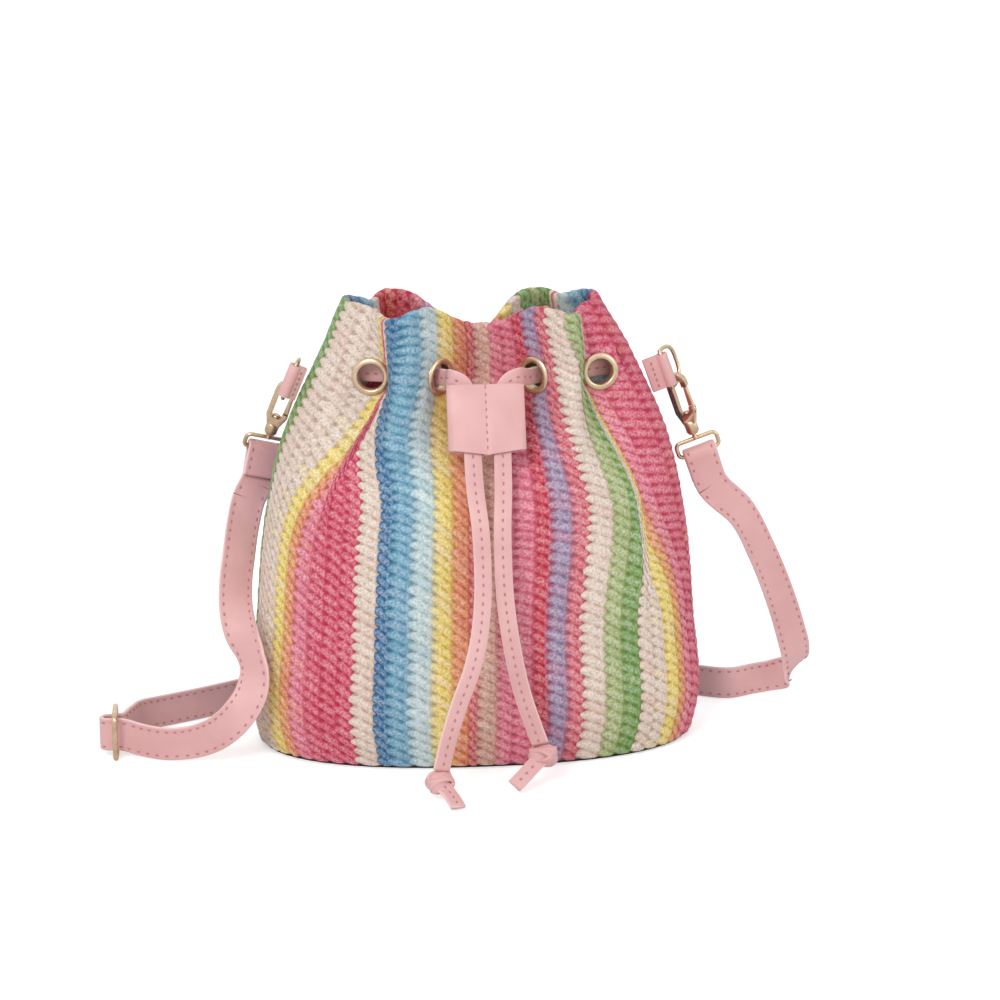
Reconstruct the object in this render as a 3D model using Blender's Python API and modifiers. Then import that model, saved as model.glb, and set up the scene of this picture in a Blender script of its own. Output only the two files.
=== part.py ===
"""Drawstring shoulder bag of woven straw, with its cord, eyelets, hooks and leather strap.

Run with: blender --background --python part.py
Metres, +Z up. X runs to the right of the bag, Y to its back. The origin is the centre of
the base panel's underside. Directions of cloth, leather and hooks are as they lie at rest.
"""
import math

import bmesh
import bpy
import numpy as np
from mathutils import Matrix, Vector

MM = 0.001
CLEARANCE = 0.3 * MM

# Bag: half widths and half depths of the wall's middle surface, at named heights
RIM_HEIGHT = 198.0 * MM
EYELET_HEIGHT = 170.0 * MM
SHOULDER_HEIGHT = 140.0 * MM
WAIST_HEIGHT = 105.0 * MM
BELLY_HEIGHT = 58.0 * MM
FOOT_HEIGHT = 12.0 * MM
RIM_HALF_WIDTH = 54.6 * MM
EYELET_HALF_WIDTH = 68.8 * MM
SHOULDER_HALF_WIDTH = 82.3 * MM
WAIST_HALF_WIDTH = 90.6 * MM
BELLY_HALF_WIDTH = 95.5 * MM
FOOT_HALF_WIDTH = 97.8 * MM
BASE_HALF_WIDTH = 94.6 * MM
RIM_HALF_DEPTH = 42.0 * MM
SHOULDER_HALF_DEPTH = 47.0 * MM
WAIST_HALF_DEPTH = 52.0 * MM
BELLY_HALF_DEPTH = 55.0 * MM
FOOT_HALF_DEPTH = 52.0 * MM
BASE_HALF_DEPTH = 47.0 * MM
OUTLINE_POWER = 2.3

# Wall of the bag: vertical ridges of the straw weave on a plain inner face
WALL_THICKNESS = 2.4 * MM
RIDGE_HEIGHT = 0.9 * MM
RIDGE_COUNT = 54

# Gathers of the neck, in plan: a notch at the centre, a fold each side of it, then a flat
NECK_SHIFT = 3.0 * MM
RIM_LEAN = 1.8 * MM
LEAN_START = 176.0 * MM
NOTCH_DEPTH = 34.0 * MM
FOLD_X = 36.0 * MM
FLANK_X = 20.0 * MM
FLAT_DEPTH = 21.0 * MM
FLAT_X = 43.0 * MM
SIDE_RADIUS = 12.0 * MM
GATHER_START = 112.0 * MM
OUTER_BELLY_LEVELS = (0.0, 0.03, 0.10, 0.22, 0.35, 0.47)
INNER_BELLY_LEVELS = (0.0, 0.12, 0.35)
NECK_LEVELS = (0.56, 0.63, 0.69, 0.74, 0.785, 0.825, 0.865, 0.91, 0.955, 1.0)
NOTCH_DROP = 12.0 * MM
FLAT_DROP = 4.0 * MM
BACK_DROP = 6.0 * MM

# Base panel
PANEL_THICKNESS = 2.2 * MM
PANEL_INSET = 0.4 * MM

# Lining, hung inside the wall below the eyelets
LINING_THICKNESS = 0.8 * MM
LINING_TOP = 138.0 * MM
LINING_EASE = 2.4 * MM
LINING_SIDES = 36
LINING_LEVELS = 5

# Eyelets, clamped through the wall
EYELET_RADIUS = 8.25 * MM
EYELET_HOLE_RADIUS = 5.5 * MM
EYELET_BARREL = 0.8 * MM
EYELET_FLANGE = 1.0 * MM
EYELET_SIDES = 16
EYELET_SEAT = 0.05 * MM
EYELET_NEAR_ARC = 0.066
EYELET_FAR_ARC = 0.174
PRESSED_RADIUS = 9.2 * MM
PRESSED_FADE = 4.0 * MM
PRESSED_DEPTH = 4.5 * MM

# Drawstring lace and its keeper
LACE_WIDTH = 7.5 * MM
LACE_THICKNESS = 2.0 * MM
KEEPER_CENTRE = Vector((0.4, -44.0, 155.5)) * MM
KEEPER_SLOPE = math.degrees(math.atan2(0.40, 0.917))
KEEPER_WIDTH = 33.0 * MM
KEEPER_LENGTH = 28.0 * MM
KEEPER_POINT = 2.2 * MM
KEEPER_LAYER = 1.5 * MM
CHANNEL_WIDTH = 14.0 * MM
CHANNEL_CENTRE = 8.0 * MM
CHANNEL_HEIGHT = 2.8 * MM
LACE_SPREAD = 6.4 * MM
KNOT_RADIUS = 5.6 * MM
FRONT_LACE_OFFSET = 5.2 * MM
INSIDE_LACE_OFFSET = 6.0 * MM
LACE_BEND = 6.5 * MM

# Leather tabs on the sides and the D rings in them
TAB_WIDTH = 15.0 * MM
TAB_LAYER = 1.6 * MM
TAB_HEIGHT = 162.0 * MM
RING_WIRE_RADIUS = 0.9 * MM
RING_HALF_WIDTH = 8.8 * MM
RING_DEPTH = 12.5 * MM
RING_PLAY = 0.35 * MM
RING_POWER = 3.0
TAB_STANDOFF = 1.2 * MM

# Snap hooks, in their own frame: the ring's wire passes through the frame's origin,
# +X is the side of the gate and the hook hangs down along -Z
HOOK_THICKNESS = 3.0 * MM
HOOK_SLOT_WIDTH = 4.6 * MM
HOOK_LEG = 2.4 * MM
HOOK_SLACK = 1.1 * MM
HOOK_SLOT_BOTTOM = -15.0 * MM
HOOK_BASE_BOTTOM = -20.0 * MM
BARREL_RADIUS = 2.9 * MM
BARREL_LENGTH = 6.0 * MM
MOUTH_TOP = -2.2 * MM
GATE_PIVOT_Z = -13.6 * MM
GATE_THICKNESS = 1.6 * MM
GATE_ROUND = 1.4 * MM
GATE_BAR = 1.7 * MM
GATE_PIN_RADIUS = 0.5 * MM
SWIVEL_RADIUS = 1.05 * MM
SWIVEL_HEAD_RADIUS = 1.7 * MM
SWIVEL_HEAD = 0.9 * MM
SWIVEL_LENGTH = 27.2 * MM
SWIVEL_SIDES = 12
EYE_WIRE_RADIUS = 0.95 * MM
EYE_HALF_WIDTH = 9.5 * MM
EYE_HEIGHT = 6.8 * MM
EYE_CORNER = 2.2 * MM

# Shoulder strap and its adjuster
STRAP_WIDTH = 15.0 * MM
STRAP_THICKNESS = 2.0 * MM
STRAP_LAYER_GAP = 0.5 * MM
STRAP_PLAY = 0.5 * MM
STRAP_TAIL = 4.0 * MM
ADJUSTER_X = -161.0 * MM
ADJUSTER_Y = -15.5 * MM
ADJUSTER_WIRE_RADIUS = 1.2 * MM
ADJUSTER_HALF_SPAN = 9.2 * MM
ADJUSTER_HALF_HEIGHT = 9.4 * MM
ADJUSTER_LOOP = 3.0 * MM
ADJUSTER_PLAY = 0.8 * MM

# Colours, linear
STRAW = (0.78, 0.30, 0.36, 1.0)
BROWN = (0.05, 0.028, 0.018, 1.0)
CLOTH = (0.72, 0.66, 0.58, 1.0)
PINK_LEATHER = (0.80, 0.46, 0.47, 1.0)
PALE_GOLD = (0.75, 0.62, 0.45, 1.0)


# Scene and object helpers

def clear_scene():
    for item in list(bpy.data.objects):
        bpy.data.objects.remove(item, do_unlink=True)


def make_collection(name):
    group = bpy.data.collections.new(name)
    bpy.context.scene.collection.children.link(group)
    return group


def make_material(name, colour, roughness, metallic=0.0):
    material = bpy.data.materials.new(name)
    material.use_nodes = True
    shader = material.node_tree.nodes["Principled BSDF"]
    shader.inputs["Base Color"].default_value = colour
    shader.inputs["Roughness"].default_value = roughness
    shader.inputs["Metallic"].default_value = metallic
    return material


def mesh_object(name, group, vertices, faces):
    mesh = bpy.data.meshes.new(name)
    mesh.from_pydata([tuple(v) for v in vertices], [], faces)
    mesh.update()
    item = bpy.data.objects.new(name, mesh)
    group.objects.link(item)
    return item


def curve_object(name, group, dimensions):
    curve = bpy.data.curves.new(name, "CURVE")
    curve.dimensions = dimensions
    item = bpy.data.objects.new(name, curve)
    group.objects.link(item)
    return item


def add_poly(curve, points, closed):
    spline = curve.splines.new("POLY")
    spline.points.add(len(points) - 1)
    for slot, point in zip(spline.points, points):
        slot.co = (*point, 1.0)
    spline.use_cyclic_u = closed


def wire(name, group, points, radius, closed=True):
    """Round wire along a line of 3-D points."""
    item = curve_object(name, group, "3D")
    add_poly(item.data, points, closed)
    item.data.bevel_depth = radius
    item.data.bevel_resolution = 2
    item.data.use_fill_caps = True
    return item


def plate(name, group, outlines, thickness):
    """Flat plate with holes: closed outlines in XY, thickness along Z."""
    item = curve_object(name, group, "2D")
    item.data.fill_mode = "BOTH"
    item.data.extrude = thickness / 2
    for outline in outlines:
        add_poly(item.data, [(x, y, 0.0) for x, y in outline], True)
    return item


def turned(name, group, profile, segments, closed=False):
    """Profile of (radius, height) points turned about Z."""
    vertices = [(r, 0.0, z) for r, z in profile]
    item = mesh_object(name, group, vertices, [])
    edges = [(i, i + 1) for i in range(len(profile) - 1)]
    if closed:
        edges.append((len(profile) - 1, 0))
    item.data.clear_geometry()
    item.data.from_pydata(vertices, edges, [])
    screw = item.modifiers.new("Turn", "SCREW")
    screw.axis = "Z"
    screw.steps = segments
    screw.render_steps = segments
    screw.use_merge_vertices = True
    screw.merge_threshold = 0.00001
    return item


def place(item, matrix):
    item.matrix_world = matrix


def to_mesh(item, group):
    """Mesh object with the item's evaluated shape, in place of a curve or modified object."""
    bpy.context.view_layer.update()
    graph = bpy.context.evaluated_depsgraph_get()
    mesh = bpy.data.meshes.new_from_object(item.evaluated_get(graph))
    work = bmesh.new()
    work.from_mesh(mesh)
    bmesh.ops.remove_doubles(work, verts=work.verts, dist=0.000005)
    bmesh.ops.recalc_face_normals(work, faces=work.faces)
    work.to_mesh(mesh)
    work.free()
    result = bpy.data.objects.new(item.name + "_mesh", mesh)
    result.matrix_world = item.matrix_world.copy()
    name = item.name
    bpy.data.objects.remove(item, do_unlink=True)
    result.name = name
    group.objects.link(result)
    return result


def hide_cutter(item):
    item.hide_render = True
    item.display_type = "WIRE"


def boolean(item, operation, cutters, group):
    """Apply Booleans of the given cutters, which then go to the cutters' collection."""
    for cutter in cutters:
        step = item.modifiers.new(operation.title(), "BOOLEAN")
        step.operation = operation
        step.object = cutter
        step.solver = "EXACT"
        hide_cutter(cutter)
    bpy.context.view_layer.update()
    return item


def frame_matrix(origin, x_axis, z_axis):
    """Matrix with the given Z axis and an X axis as near as can be to the given one."""
    z = Vector(z_axis).normalized()
    x = Vector(x_axis)
    x = (x - z * x.dot(z)).normalized()
    y = z.cross(x)
    rotation = Matrix((x, y, z)).transposed().to_4x4()
    return Matrix.Translation(Vector(origin)) @ rotation


def shade(item, material, angle=40.0):
    item.data.materials.clear()
    item.data.materials.append(material)
    if item.type == "MESH" and len(item.data.polygons):
        item.data.shade_smooth()
        item.data.set_sharp_from_angle(angle=math.radians(angle))


# Curves through points

def smoothstep(t):
    t = min(max(t, 0.0), 1.0)
    return t * t * (3.0 - 2.0 * t)


def smooth_loop(points, steps):
    """Smooth closed line through the given points, as a list of arrays."""
    pts = [np.array(p, dtype=float) for p in points]
    count = len(pts)
    line = []
    for i in range(count):
        p0, p1, p2, p3 = (pts[(i + k) % count] for k in (-1, 0, 1, 2))
        for k in range(steps):
            t = k / steps
            line.append(0.5 * (2 * p1 + (p2 - p0) * t + (2 * p0 - 5 * p1 + 4 * p2 - p3) * t ** 2
                               + (3 * p1 - p0 - 3 * p2 + p3) * t ** 3))
    return line


def smooth_line(stations, steps):
    """Smooth line through unevenly spaced stations of an open strip, without overshoot."""
    table = np.array(stations)
    spans = np.linalg.norm(np.diff(table[:, :3], axis=0), axis=1)
    slopes = np.diff(table, axis=0) / spans[:, None]
    tangents = np.empty_like(table)
    tangents[0] = slopes[0]
    tangents[-1] = slopes[-1]
    before = spans[:-1, None]
    after = spans[1:, None]
    tangents[1:-1] = (slopes[:-1] * after + slopes[1:] * before) / (before + after)
    line = []
    for i, h in enumerate(spans):
        for k in range(steps):
            t = k / steps
            line.append((2 * t ** 3 - 3 * t ** 2 + 1) * table[i]
                        + (t ** 3 - 2 * t ** 2 + t) * h * tangents[i]
                        + (3 * t ** 2 - 2 * t ** 3) * table[i + 1]
                        + (t ** 3 - t ** 2) * h * tangents[i + 1])
    line.append(table[-1])
    return line


def resample_closed(points, fractions):
    """Points at the given shares of a closed line's length."""
    line = np.array(points + [points[0]])
    steps = np.linalg.norm(np.diff(line, axis=0), axis=1)
    lengths = np.concatenate([[0.0], np.cumsum(steps)]) / steps.sum()
    at = np.mod(np.array(fractions), 1.0)
    return np.stack([np.interp(at, lengths, line[:, k]) for k in range(line.shape[1])], axis=1)


def resample_open(points, spacing):
    """Evenly spaced points along an open line; each keeps all its values."""
    line = np.array(points)
    steps = np.linalg.norm(np.diff(line[:, :3], axis=0), axis=1)
    lengths = np.concatenate([[0.0], np.cumsum(steps)])
    count = max(int(round(lengths[-1] / spacing)), 2)
    at = np.linspace(0.0, lengths[-1], count + 1)
    return np.stack([np.interp(at, lengths, line[:, k]) for k in range(line.shape[1])], axis=1)


# Form of the bag

SECTION_HEIGHTS = (0.0, FOOT_HEIGHT, BELLY_HEIGHT, WAIST_HEIGHT, SHOULDER_HEIGHT, EYELET_HEIGHT,
                   RIM_HEIGHT)
SECTION_WIDTHS = (BASE_HALF_WIDTH, FOOT_HALF_WIDTH, BELLY_HALF_WIDTH, WAIST_HALF_WIDTH,
                  SHOULDER_HALF_WIDTH, EYELET_HALF_WIDTH, RIM_HALF_WIDTH)
SECTION_DEPTHS = (BASE_HALF_DEPTH, FOOT_HALF_DEPTH, BELLY_HALF_DEPTH, WAIST_HALF_DEPTH,
                  SHOULDER_HALF_DEPTH, RIM_HALF_DEPTH, RIM_HALF_DEPTH)


def section_value(values, z):
    """Value at height z on a smooth line through the sections."""
    heights = np.array(SECTION_HEIGHTS)
    values = np.array(values)
    slopes = np.gradient(values, heights)
    slopes[0] = (values[1] - values[0]) / (heights[1] - heights[0]) * 1.6
    z = min(max(z, 0.0), heights[-1] + 0.004)
    i = int(np.clip(np.searchsorted(heights, z) - 1, 0, len(heights) - 2))
    h = heights[i + 1] - heights[i]
    t = (z - heights[i]) / h
    return ((2 * t ** 3 - 3 * t ** 2 + 1) * values[i] + (t ** 3 - 2 * t ** 2 + t) * h * slopes[i]
            + (3 * t ** 2 - 2 * t ** 3) * values[i + 1] + (t ** 3 - t ** 2) * h * slopes[i + 1])


def belly_outline(z, inset=0.0):
    """Rounded outline in plan at height z, from the front centre round to the right."""
    a = section_value(SECTION_WIDTHS, z) - inset
    b = section_value(SECTION_DEPTHS, z) - inset
    line = []
    for k in range(360):
        angle = math.radians(k - 90)
        c = math.cos(angle)
        s = math.sin(angle)
        line.append((a * math.copysign(abs(c) ** (2 / OUTLINE_POWER), c),
                     b * math.copysign(abs(s) ** (2 / OUTLINE_POWER), s)))
    return line


def neck_outline(z):
    """Gathered outline in plan: notch, fold, flat and side, the same at front and back."""
    side = section_value(SECTION_WIDTHS, z)
    front = section_value(SECTION_DEPTHS, EYELET_HEIGHT)
    quarter = [
        (0.0, -(front - NOTCH_DEPTH)),
        (FLANK_X, -(front - NOTCH_DEPTH * (1 - FLANK_X / FOLD_X)) + 1 * MM),
        (FOLD_X, -front),
        (FLAT_X, -(front - FLAT_DEPTH * 0.8)),
        (side - SIDE_RADIUS, -(front - FLAT_DEPTH)),
        (side - SIDE_RADIUS / 4, -SIDE_RADIUS),
        (side, 0.0),
    ]
    right = quarter + [(x, -y) for x, y in reversed(quarter[:-1])]
    loop = right + [(-x, y) for x, y in reversed(right[1:-1])]
    lean = RIM_LEAN * smoothstep((z - LEAN_START) / (RIM_HEIGHT - LEAN_START))
    loop = [(x + NECK_SHIFT * (1 - abs(x) / side) - lean, y) for x, y in loop]
    return [tuple(p) for p in smooth_loop(loop, 10)]


def gather(z):
    return smoothstep((z - GATHER_START) / (EYELET_HEIGHT - GATHER_START))


def rim_height(u):
    """Height of the rim round the bag: lower in the notches and towards the back."""
    turn = abs((u * 2.0) % 1.0 - 0.5) * 2.0
    notch = smoothstep((turn - 0.62) / 0.38)
    flat = math.exp(-((turn - 0.36) / 0.16) ** 2)
    back = smoothstep((0.5 - abs(u - 0.5)) / 0.5 * 1.4 - 0.4)
    return RIM_HEIGHT + 1.5 * MM - NOTCH_DROP * notch - FLAT_DROP * flat - BACK_DROP * back


def wall_row(us, z):
    """Points of the wall's middle surface at one height."""
    w = gather(z)
    belly = resample_closed(belly_outline(z), us)
    if w == 0.0:
        plan = belly
    else:
        plan = belly * (1 - w) + resample_closed(neck_outline(z), us) * w
    return np.column_stack([plan, np.full(len(plan), z)])


def wall_point(u, z):
    return Vector(wall_row([u], z)[0])


def wall_normal(u, z):
    """Outward normal of the middle surface."""
    du = 0.004
    dz = 1.0 * MM
    along = wall_point(u + du, z) - wall_point(u - du, z)
    up = wall_point(u, z + dz) - wall_point(u, z - dz)
    return along.cross(up).normalized()


def wall_grid(us, shares, bottom, offset):
    """Grid of points offset outward from the middle surface, at shares of the way to the rim."""
    grid = np.zeros((len(shares), len(us), 3))
    rims = np.array([rim_height(u) for u in us])
    dense = np.linspace(0.0, 1.0, 60)
    heights = bottom + dense[:, None] * (rims[None, :] - bottom)
    zs = np.linspace(0.0, RIM_HEIGHT + 6 * MM, 80)
    rows = np.stack([wall_row(us, z) for z in zs])
    surface = np.zeros((60, len(us), 3))
    for j in range(len(us)):
        for k in range(3):
            surface[:, j, k] = np.interp(heights[:, j], zs, rows[:, j, k])
    along = np.roll(surface, -1, axis=1) - np.roll(surface, 1, axis=1)
    up = np.gradient(surface, axis=0)
    normal = np.cross(along, up)
    normal /= np.linalg.norm(normal, axis=2, keepdims=True)
    for j in range(len(us)):
        for k in range(3):
            moved = surface[:, j, k] + normal[:, j, k] * offset[j]
            grid[:, j, k] = np.interp(shares, dense, moved)
    return grid


# Eyelets

def eyelet_places():
    """Share of the way round, centre and frame of each eyelet, front then back."""
    shares = {
        "front_left": 1.0 - EYELET_FAR_ARC,
        "front_centre_left": 1.0 - EYELET_NEAR_ARC,
        "front_centre_right": EYELET_NEAR_ARC,
        "front_right": EYELET_FAR_ARC,
        "back_right": 0.5 - EYELET_FAR_ARC,
        "back_centre_right": 0.5 - EYELET_NEAR_ARC,
        "back_centre_left": 0.5 + EYELET_NEAR_ARC,
        "back_left": 0.5 + EYELET_FAR_ARC,
    }
    places = {}
    for name, u in shares.items():
        centre = wall_point(u, EYELET_HEIGHT)
        normal = wall_normal(u, EYELET_HEIGHT)
        places[name] = (centre, normal)
    return places


def press_flat(grid, places, level):
    """Flatten the wall's surface round each eyelet, where its flanges clamp it."""
    for centre, normal in places.values():
        c = np.array(centre)
        n = np.array(normal)
        away = grid - c
        height = away @ n
        radial = np.linalg.norm(away - height[..., None] * n, axis=-1)
        near = 1 - np.clip((radial - PRESSED_RADIUS) / PRESSED_FADE, 0, 1)
        shallow = 1 - np.clip((np.abs(height) - PRESSED_DEPTH) / PRESSED_FADE, 0, 1)
        weight = near * shallow
        weight = weight * weight * (3 - 2 * weight)
        grid -= (weight * (height - level))[..., None] * n


def eyelet_cutter(name, group, centre, normal):
    """Spool-shaped cutter: a hole for the barrel and room for both flanges."""
    half = WALL_THICKNESS / 2 + EYELET_SEAT
    around = CLEARANCE / math.cos(math.pi / EYELET_SIDES)
    barrel = EYELET_HOLE_RADIUS + EYELET_BARREL + around
    flange = EYELET_RADIUS + around
    reach = 8.0 * MM
    profile = [(0.0, reach), (flange, reach), (flange, half), (barrel, half),
               (barrel, -half), (flange, -half), (flange, -reach), (0.0, -reach)]
    cutter = turned(name, group, profile, EYELET_SIDES)
    place(cutter, frame_matrix(centre, (0.3, 0.2, 1.0), normal))
    hide_cutter(cutter)
    return cutter


def make_eyelet(name, group, material, centre, normal):
    inner = WALL_THICKNESS / 2 + EYELET_SEAT + CLEARANCE
    outer = inner + EYELET_FLANGE
    barrel = EYELET_HOLE_RADIUS + EYELET_BARREL
    crown = (EYELET_HOLE_RADIUS + EYELET_RADIUS) / 2
    shoulder = inner + EYELET_FLANGE / 2
    profile = [
        (EYELET_HOLE_RADIUS, shoulder), (crown, outer), (EYELET_RADIUS, inner), (barrel, inner),
        (barrel, -inner), (EYELET_RADIUS, -inner), (crown, -outer), (EYELET_HOLE_RADIUS, -shoulder),
    ]
    eyelet = turned(name, group, profile, EYELET_SIDES, closed=True)
    place(eyelet, frame_matrix(centre, (0.3, 0.2, 1.0), normal))
    shade(eyelet, material)


# Straw wall, base panel and lining

def make_body(group, cutters, material, places):
    count = RIDGE_COUNT * 2
    us = [k / count for k in range(count)]
    bottom = PANEL_THICKNESS + CLEARANCE
    ridged = [WALL_THICKNESS / 2 + RIDGE_HEIGHT * (k % 2) for k in range(count)]
    plain = [-WALL_THICKNESS / 2] * count
    outer = wall_grid(us, OUTER_BELLY_LEVELS + NECK_LEVELS, bottom, ridged)
    inner = wall_grid(us, INNER_BELLY_LEVELS + NECK_LEVELS, bottom, plain)
    press_flat(outer, places, WALL_THICKNESS / 2)
    press_flat(inner, places, -WALL_THICKNESS / 2)
    outer[0, :, 2] = bottom
    inner[0, :, 2] = bottom
    lip = (outer[-1] + inner[-1]) / 2
    lip[:, 2] += WALL_THICKNESS / 2
    rings = [*outer, lip, *inner[::-1]]
    vertices = [tuple(p) for ring in rings for p in ring]
    faces = []
    for i in range(len(rings)):
        below = i * count
        above = ((i + 1) % len(rings)) * count
        for k in range(count):
            n = (k + 1) % count
            faces.append((below + k, below + n, above + n, above + k))
    body = mesh_object("bag_body", group, vertices, faces)
    body.modifiers.new("Triangles", "TRIANGULATE")
    tools = [eyelet_cutter("eyelet_hole_" + name, cutters, *where) for name, where in places.items()]
    boolean(body, "DIFFERENCE", tools, cutters)
    shade(body, material, 60.0)
    return body


def make_base_panel(group, material):
    outline = belly_outline(0.0, PANEL_INSET - WALL_THICKNESS / 2)
    outline = resample_closed(outline, [k / 72 for k in range(72)])
    panel = plate("base_panel", group, [outline], PANEL_THICKNESS)
    place(panel, Matrix.Translation((0.0, 0.0, PANEL_THICKNESS / 2)))
    shade(panel, material)


def make_lining(group, material):
    """Cloth pouch: an open sheet with a bottom, thickened inward."""
    us = [k / LINING_SIDES for k in range(LINING_SIDES)]
    bottom = PANEL_THICKNESS + 2 * CLEARANCE
    inward = WALL_THICKNESS / 2 + LINING_EASE
    rows = []
    for i in range(LINING_LEVELS + 1):
        z = bottom + (LINING_TOP - bottom) * i / LINING_LEVELS
        w = gather(z)
        plan = resample_closed(belly_outline(z, inward), us) * (1 - w)
        if w > 0:
            neck = resample_closed(neck_outline(z), us)
            plan = plan + neck * (1 - inward / np.linalg.norm(neck, axis=1, keepdims=True)) * w
        rows.append([(x, y, z) for x, y in plan])
    floor = [(x * 0.5, y * 0.5, bottom) for x, y, _ in rows[0]]
    rings = [floor] + rows
    vertices = [p for ring in rings for p in ring] + [(0.0, 0.0, bottom)]
    faces = []
    for i in range(len(rings) - 1):
        for k in range(LINING_SIDES):
            n = (k + 1) % LINING_SIDES
            a = i * LINING_SIDES
            b = a + LINING_SIDES
            faces.append((a + k, a + n, b + n, b + k))
    centre = len(vertices) - 1
    for k in range(LINING_SIDES):
        faces.append(((k + 1) % LINING_SIDES, k, centre))
    lining = mesh_object("lining", group, vertices, faces)
    solid = lining.modifiers.new("Cloth", "SOLIDIFY")
    solid.thickness = LINING_THICKNESS
    solid.offset = -1.0
    shade(lining, material, 60.0)


# Flat straps and laces

def strip(name, group, stations, width, thickness):
    """Flat strip along stations of (x, y, z, wx, wy, wz): the place and the width's direction."""
    table = np.array(stations)
    centres = table[:, :3]
    tangents = np.gradient(centres, axis=0)
    tangents /= np.linalg.norm(tangents, axis=1, keepdims=True)
    across = table[:, 3:]
    across = across - np.sum(across * tangents, axis=1, keepdims=True) * tangents
    across /= np.linalg.norm(across, axis=1, keepdims=True)
    vertices = []
    for c, w in zip(centres, across):
        vertices.append(c - w * width / 2)
        vertices.append(c + w * width / 2)
    faces = [(2 * i, 2 * i + 1, 2 * i + 3, 2 * i + 2) for i in range(len(centres) - 1)]
    item = mesh_object(name, group, vertices, faces)
    solid = item.modifiers.new("Leather", "SOLIDIFY")
    solid.thickness = thickness
    solid.offset = 0.0
    solid.use_even_offset = True
    return item


def station(point, across):
    return (*point, *across)


def smooth_stations(stations, spacing, steps=8):
    return resample_open(smooth_line(stations, steps), spacing)


# Drawstring, its keeper and its hanging ends

def keeper_axes():
    """Down direction along the laces, the keeper's outward normal and its width's direction."""
    angle = math.radians(KEEPER_SLOPE)
    down = Vector((0.0, -math.sin(angle), -math.cos(angle)))
    across = Vector((1.0, 0.0, 0.0))
    outward = across.cross(-down)
    return down, outward, across


def make_keeper(group, material):
    """Two leather layers sewn at the edges and the centre, leaving a channel for each lace."""
    down, outward, across = keeper_axes()
    half = CHANNEL_HEIGHT / 2 + KEEPER_LAYER
    seam = KEEPER_LAYER
    edge = KEEPER_WIDTH / 2
    crown = CHANNEL_CENTRE
    upper = [(edge, seam), (crown + CHANNEL_WIDTH / 2 - 1.2 * MM, half),
             (crown - CHANNEL_WIDTH / 2 + 1.5 * MM, half), (0.0, seam + 0.3 * MM)]
    upper += [(-x, y) for x, y in reversed(upper[:-1])]
    outline = upper + [(x, -y) for x, y in reversed(upper)]
    channels = []
    for side in (-1, 1):
        centre = side * CHANNEL_CENTRE
        w = CHANNEL_WIDTH / 2
        h = CHANNEL_HEIGHT / 2
        channels.append([(centre - w, 0.0), (centre - w + h, h), (centre + w - h, h),
                         (centre + w, 0.0), (centre + w - h, -h), (centre - w + h, -h)])
    keeper = plate("cord_keeper", group, [outline] + channels, KEEPER_LENGTH)
    rotation = Matrix((across, outward, down)).transposed().to_4x4()
    place(keeper, Matrix.Translation(KEEPER_CENTRE) @ rotation)
    keeper = to_mesh(keeper, group)
    for vertex in keeper.data.vertices:
        if vertex.co.z > 0:
            vertex.co.z += KEEPER_POINT * (1 - abs(vertex.co.x) / edge)
    shade(keeper, material)


def lace_half(places, side):
    """Half of the held lace: from the keeper through its front eyelet, round inside the neck
    past the outer eyelets and out again near the middle of the back."""
    sign = -1 if side == "left" else 1
    down, outward, right = keeper_axes()
    across = right * sign
    top = KEEPER_CENTRE - down * KEEPER_LENGTH / 2
    bottom = KEEPER_CENTRE + down * (KEEPER_LENGTH / 2 - 2 * CLEARANCE)
    rise = top - down * 3.0 * MM + across * (LACE_SPREAD + 2.6 * MM)
    over = top - down * LACE_BEND + across * (LACE_SPREAD + 7.0 * MM) - outward * 2.0 * MM
    half = [station(bottom + across * LACE_SPREAD, across),
            station(KEEPER_CENTRE + across * (LACE_SPREAD + 0.5 * MM), across),
            station(top + down * 3.0 * MM + across * (LACE_SPREAD + 1.0 * MM), across),
            station(top + across * (LACE_SPREAD + 1.2 * MM), across),
            station(rise, (sign * 0.85, 0.0, -0.5)),
            station(over, (sign * 0.25, 0.0, -0.97))]
    half += through_eyelet(*places["front_centre_" + side], 1)
    for u in (EYELET_FAR_ARC, 0.215, 0.25, 0.285, 0.5 - EYELET_FAR_ARC):
        share = u if sign > 0 else 1.0 - u
        point = wall_point(share, EYELET_HEIGHT)
        point -= wall_normal(share, EYELET_HEIGHT) * INSIDE_LACE_OFFSET
        half.append(station((point.x, point.y, EYELET_HEIGHT), (0.0, 0.0, -1.0)))
    half += through_eyelet(*places["back_centre_" + side], -1)
    x, y = half[-1][:2]
    half.append(station((x * 0.35, y + 1.0 * MM, EYELET_HEIGHT), (0.0, 0.0, -1.0)))
    return half


def through_eyelet(centre, normal, sense):
    """Three stations through an eyelet, inward for a sense of 1, outward for -1."""
    up = Vector((0.0, 0.0, 1.0))
    hang = normal * up.dot(normal) - up
    step = normal * FRONT_LACE_OFFSET * sense
    return [station(centre + step, hang), station(centre, hang), station(centre - step, hang)]


def make_drawstring(group, material, places):
    stations = lace_half(places, "right") + lace_half(places, "left")[::-1]
    stations = adaptive(smooth_line(stations, 6), 3.0 * MM)
    lace = strip("drawstring", group, stations, LACE_WIDTH, LACE_THICKNESS)
    shade(lace, material)


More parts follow.
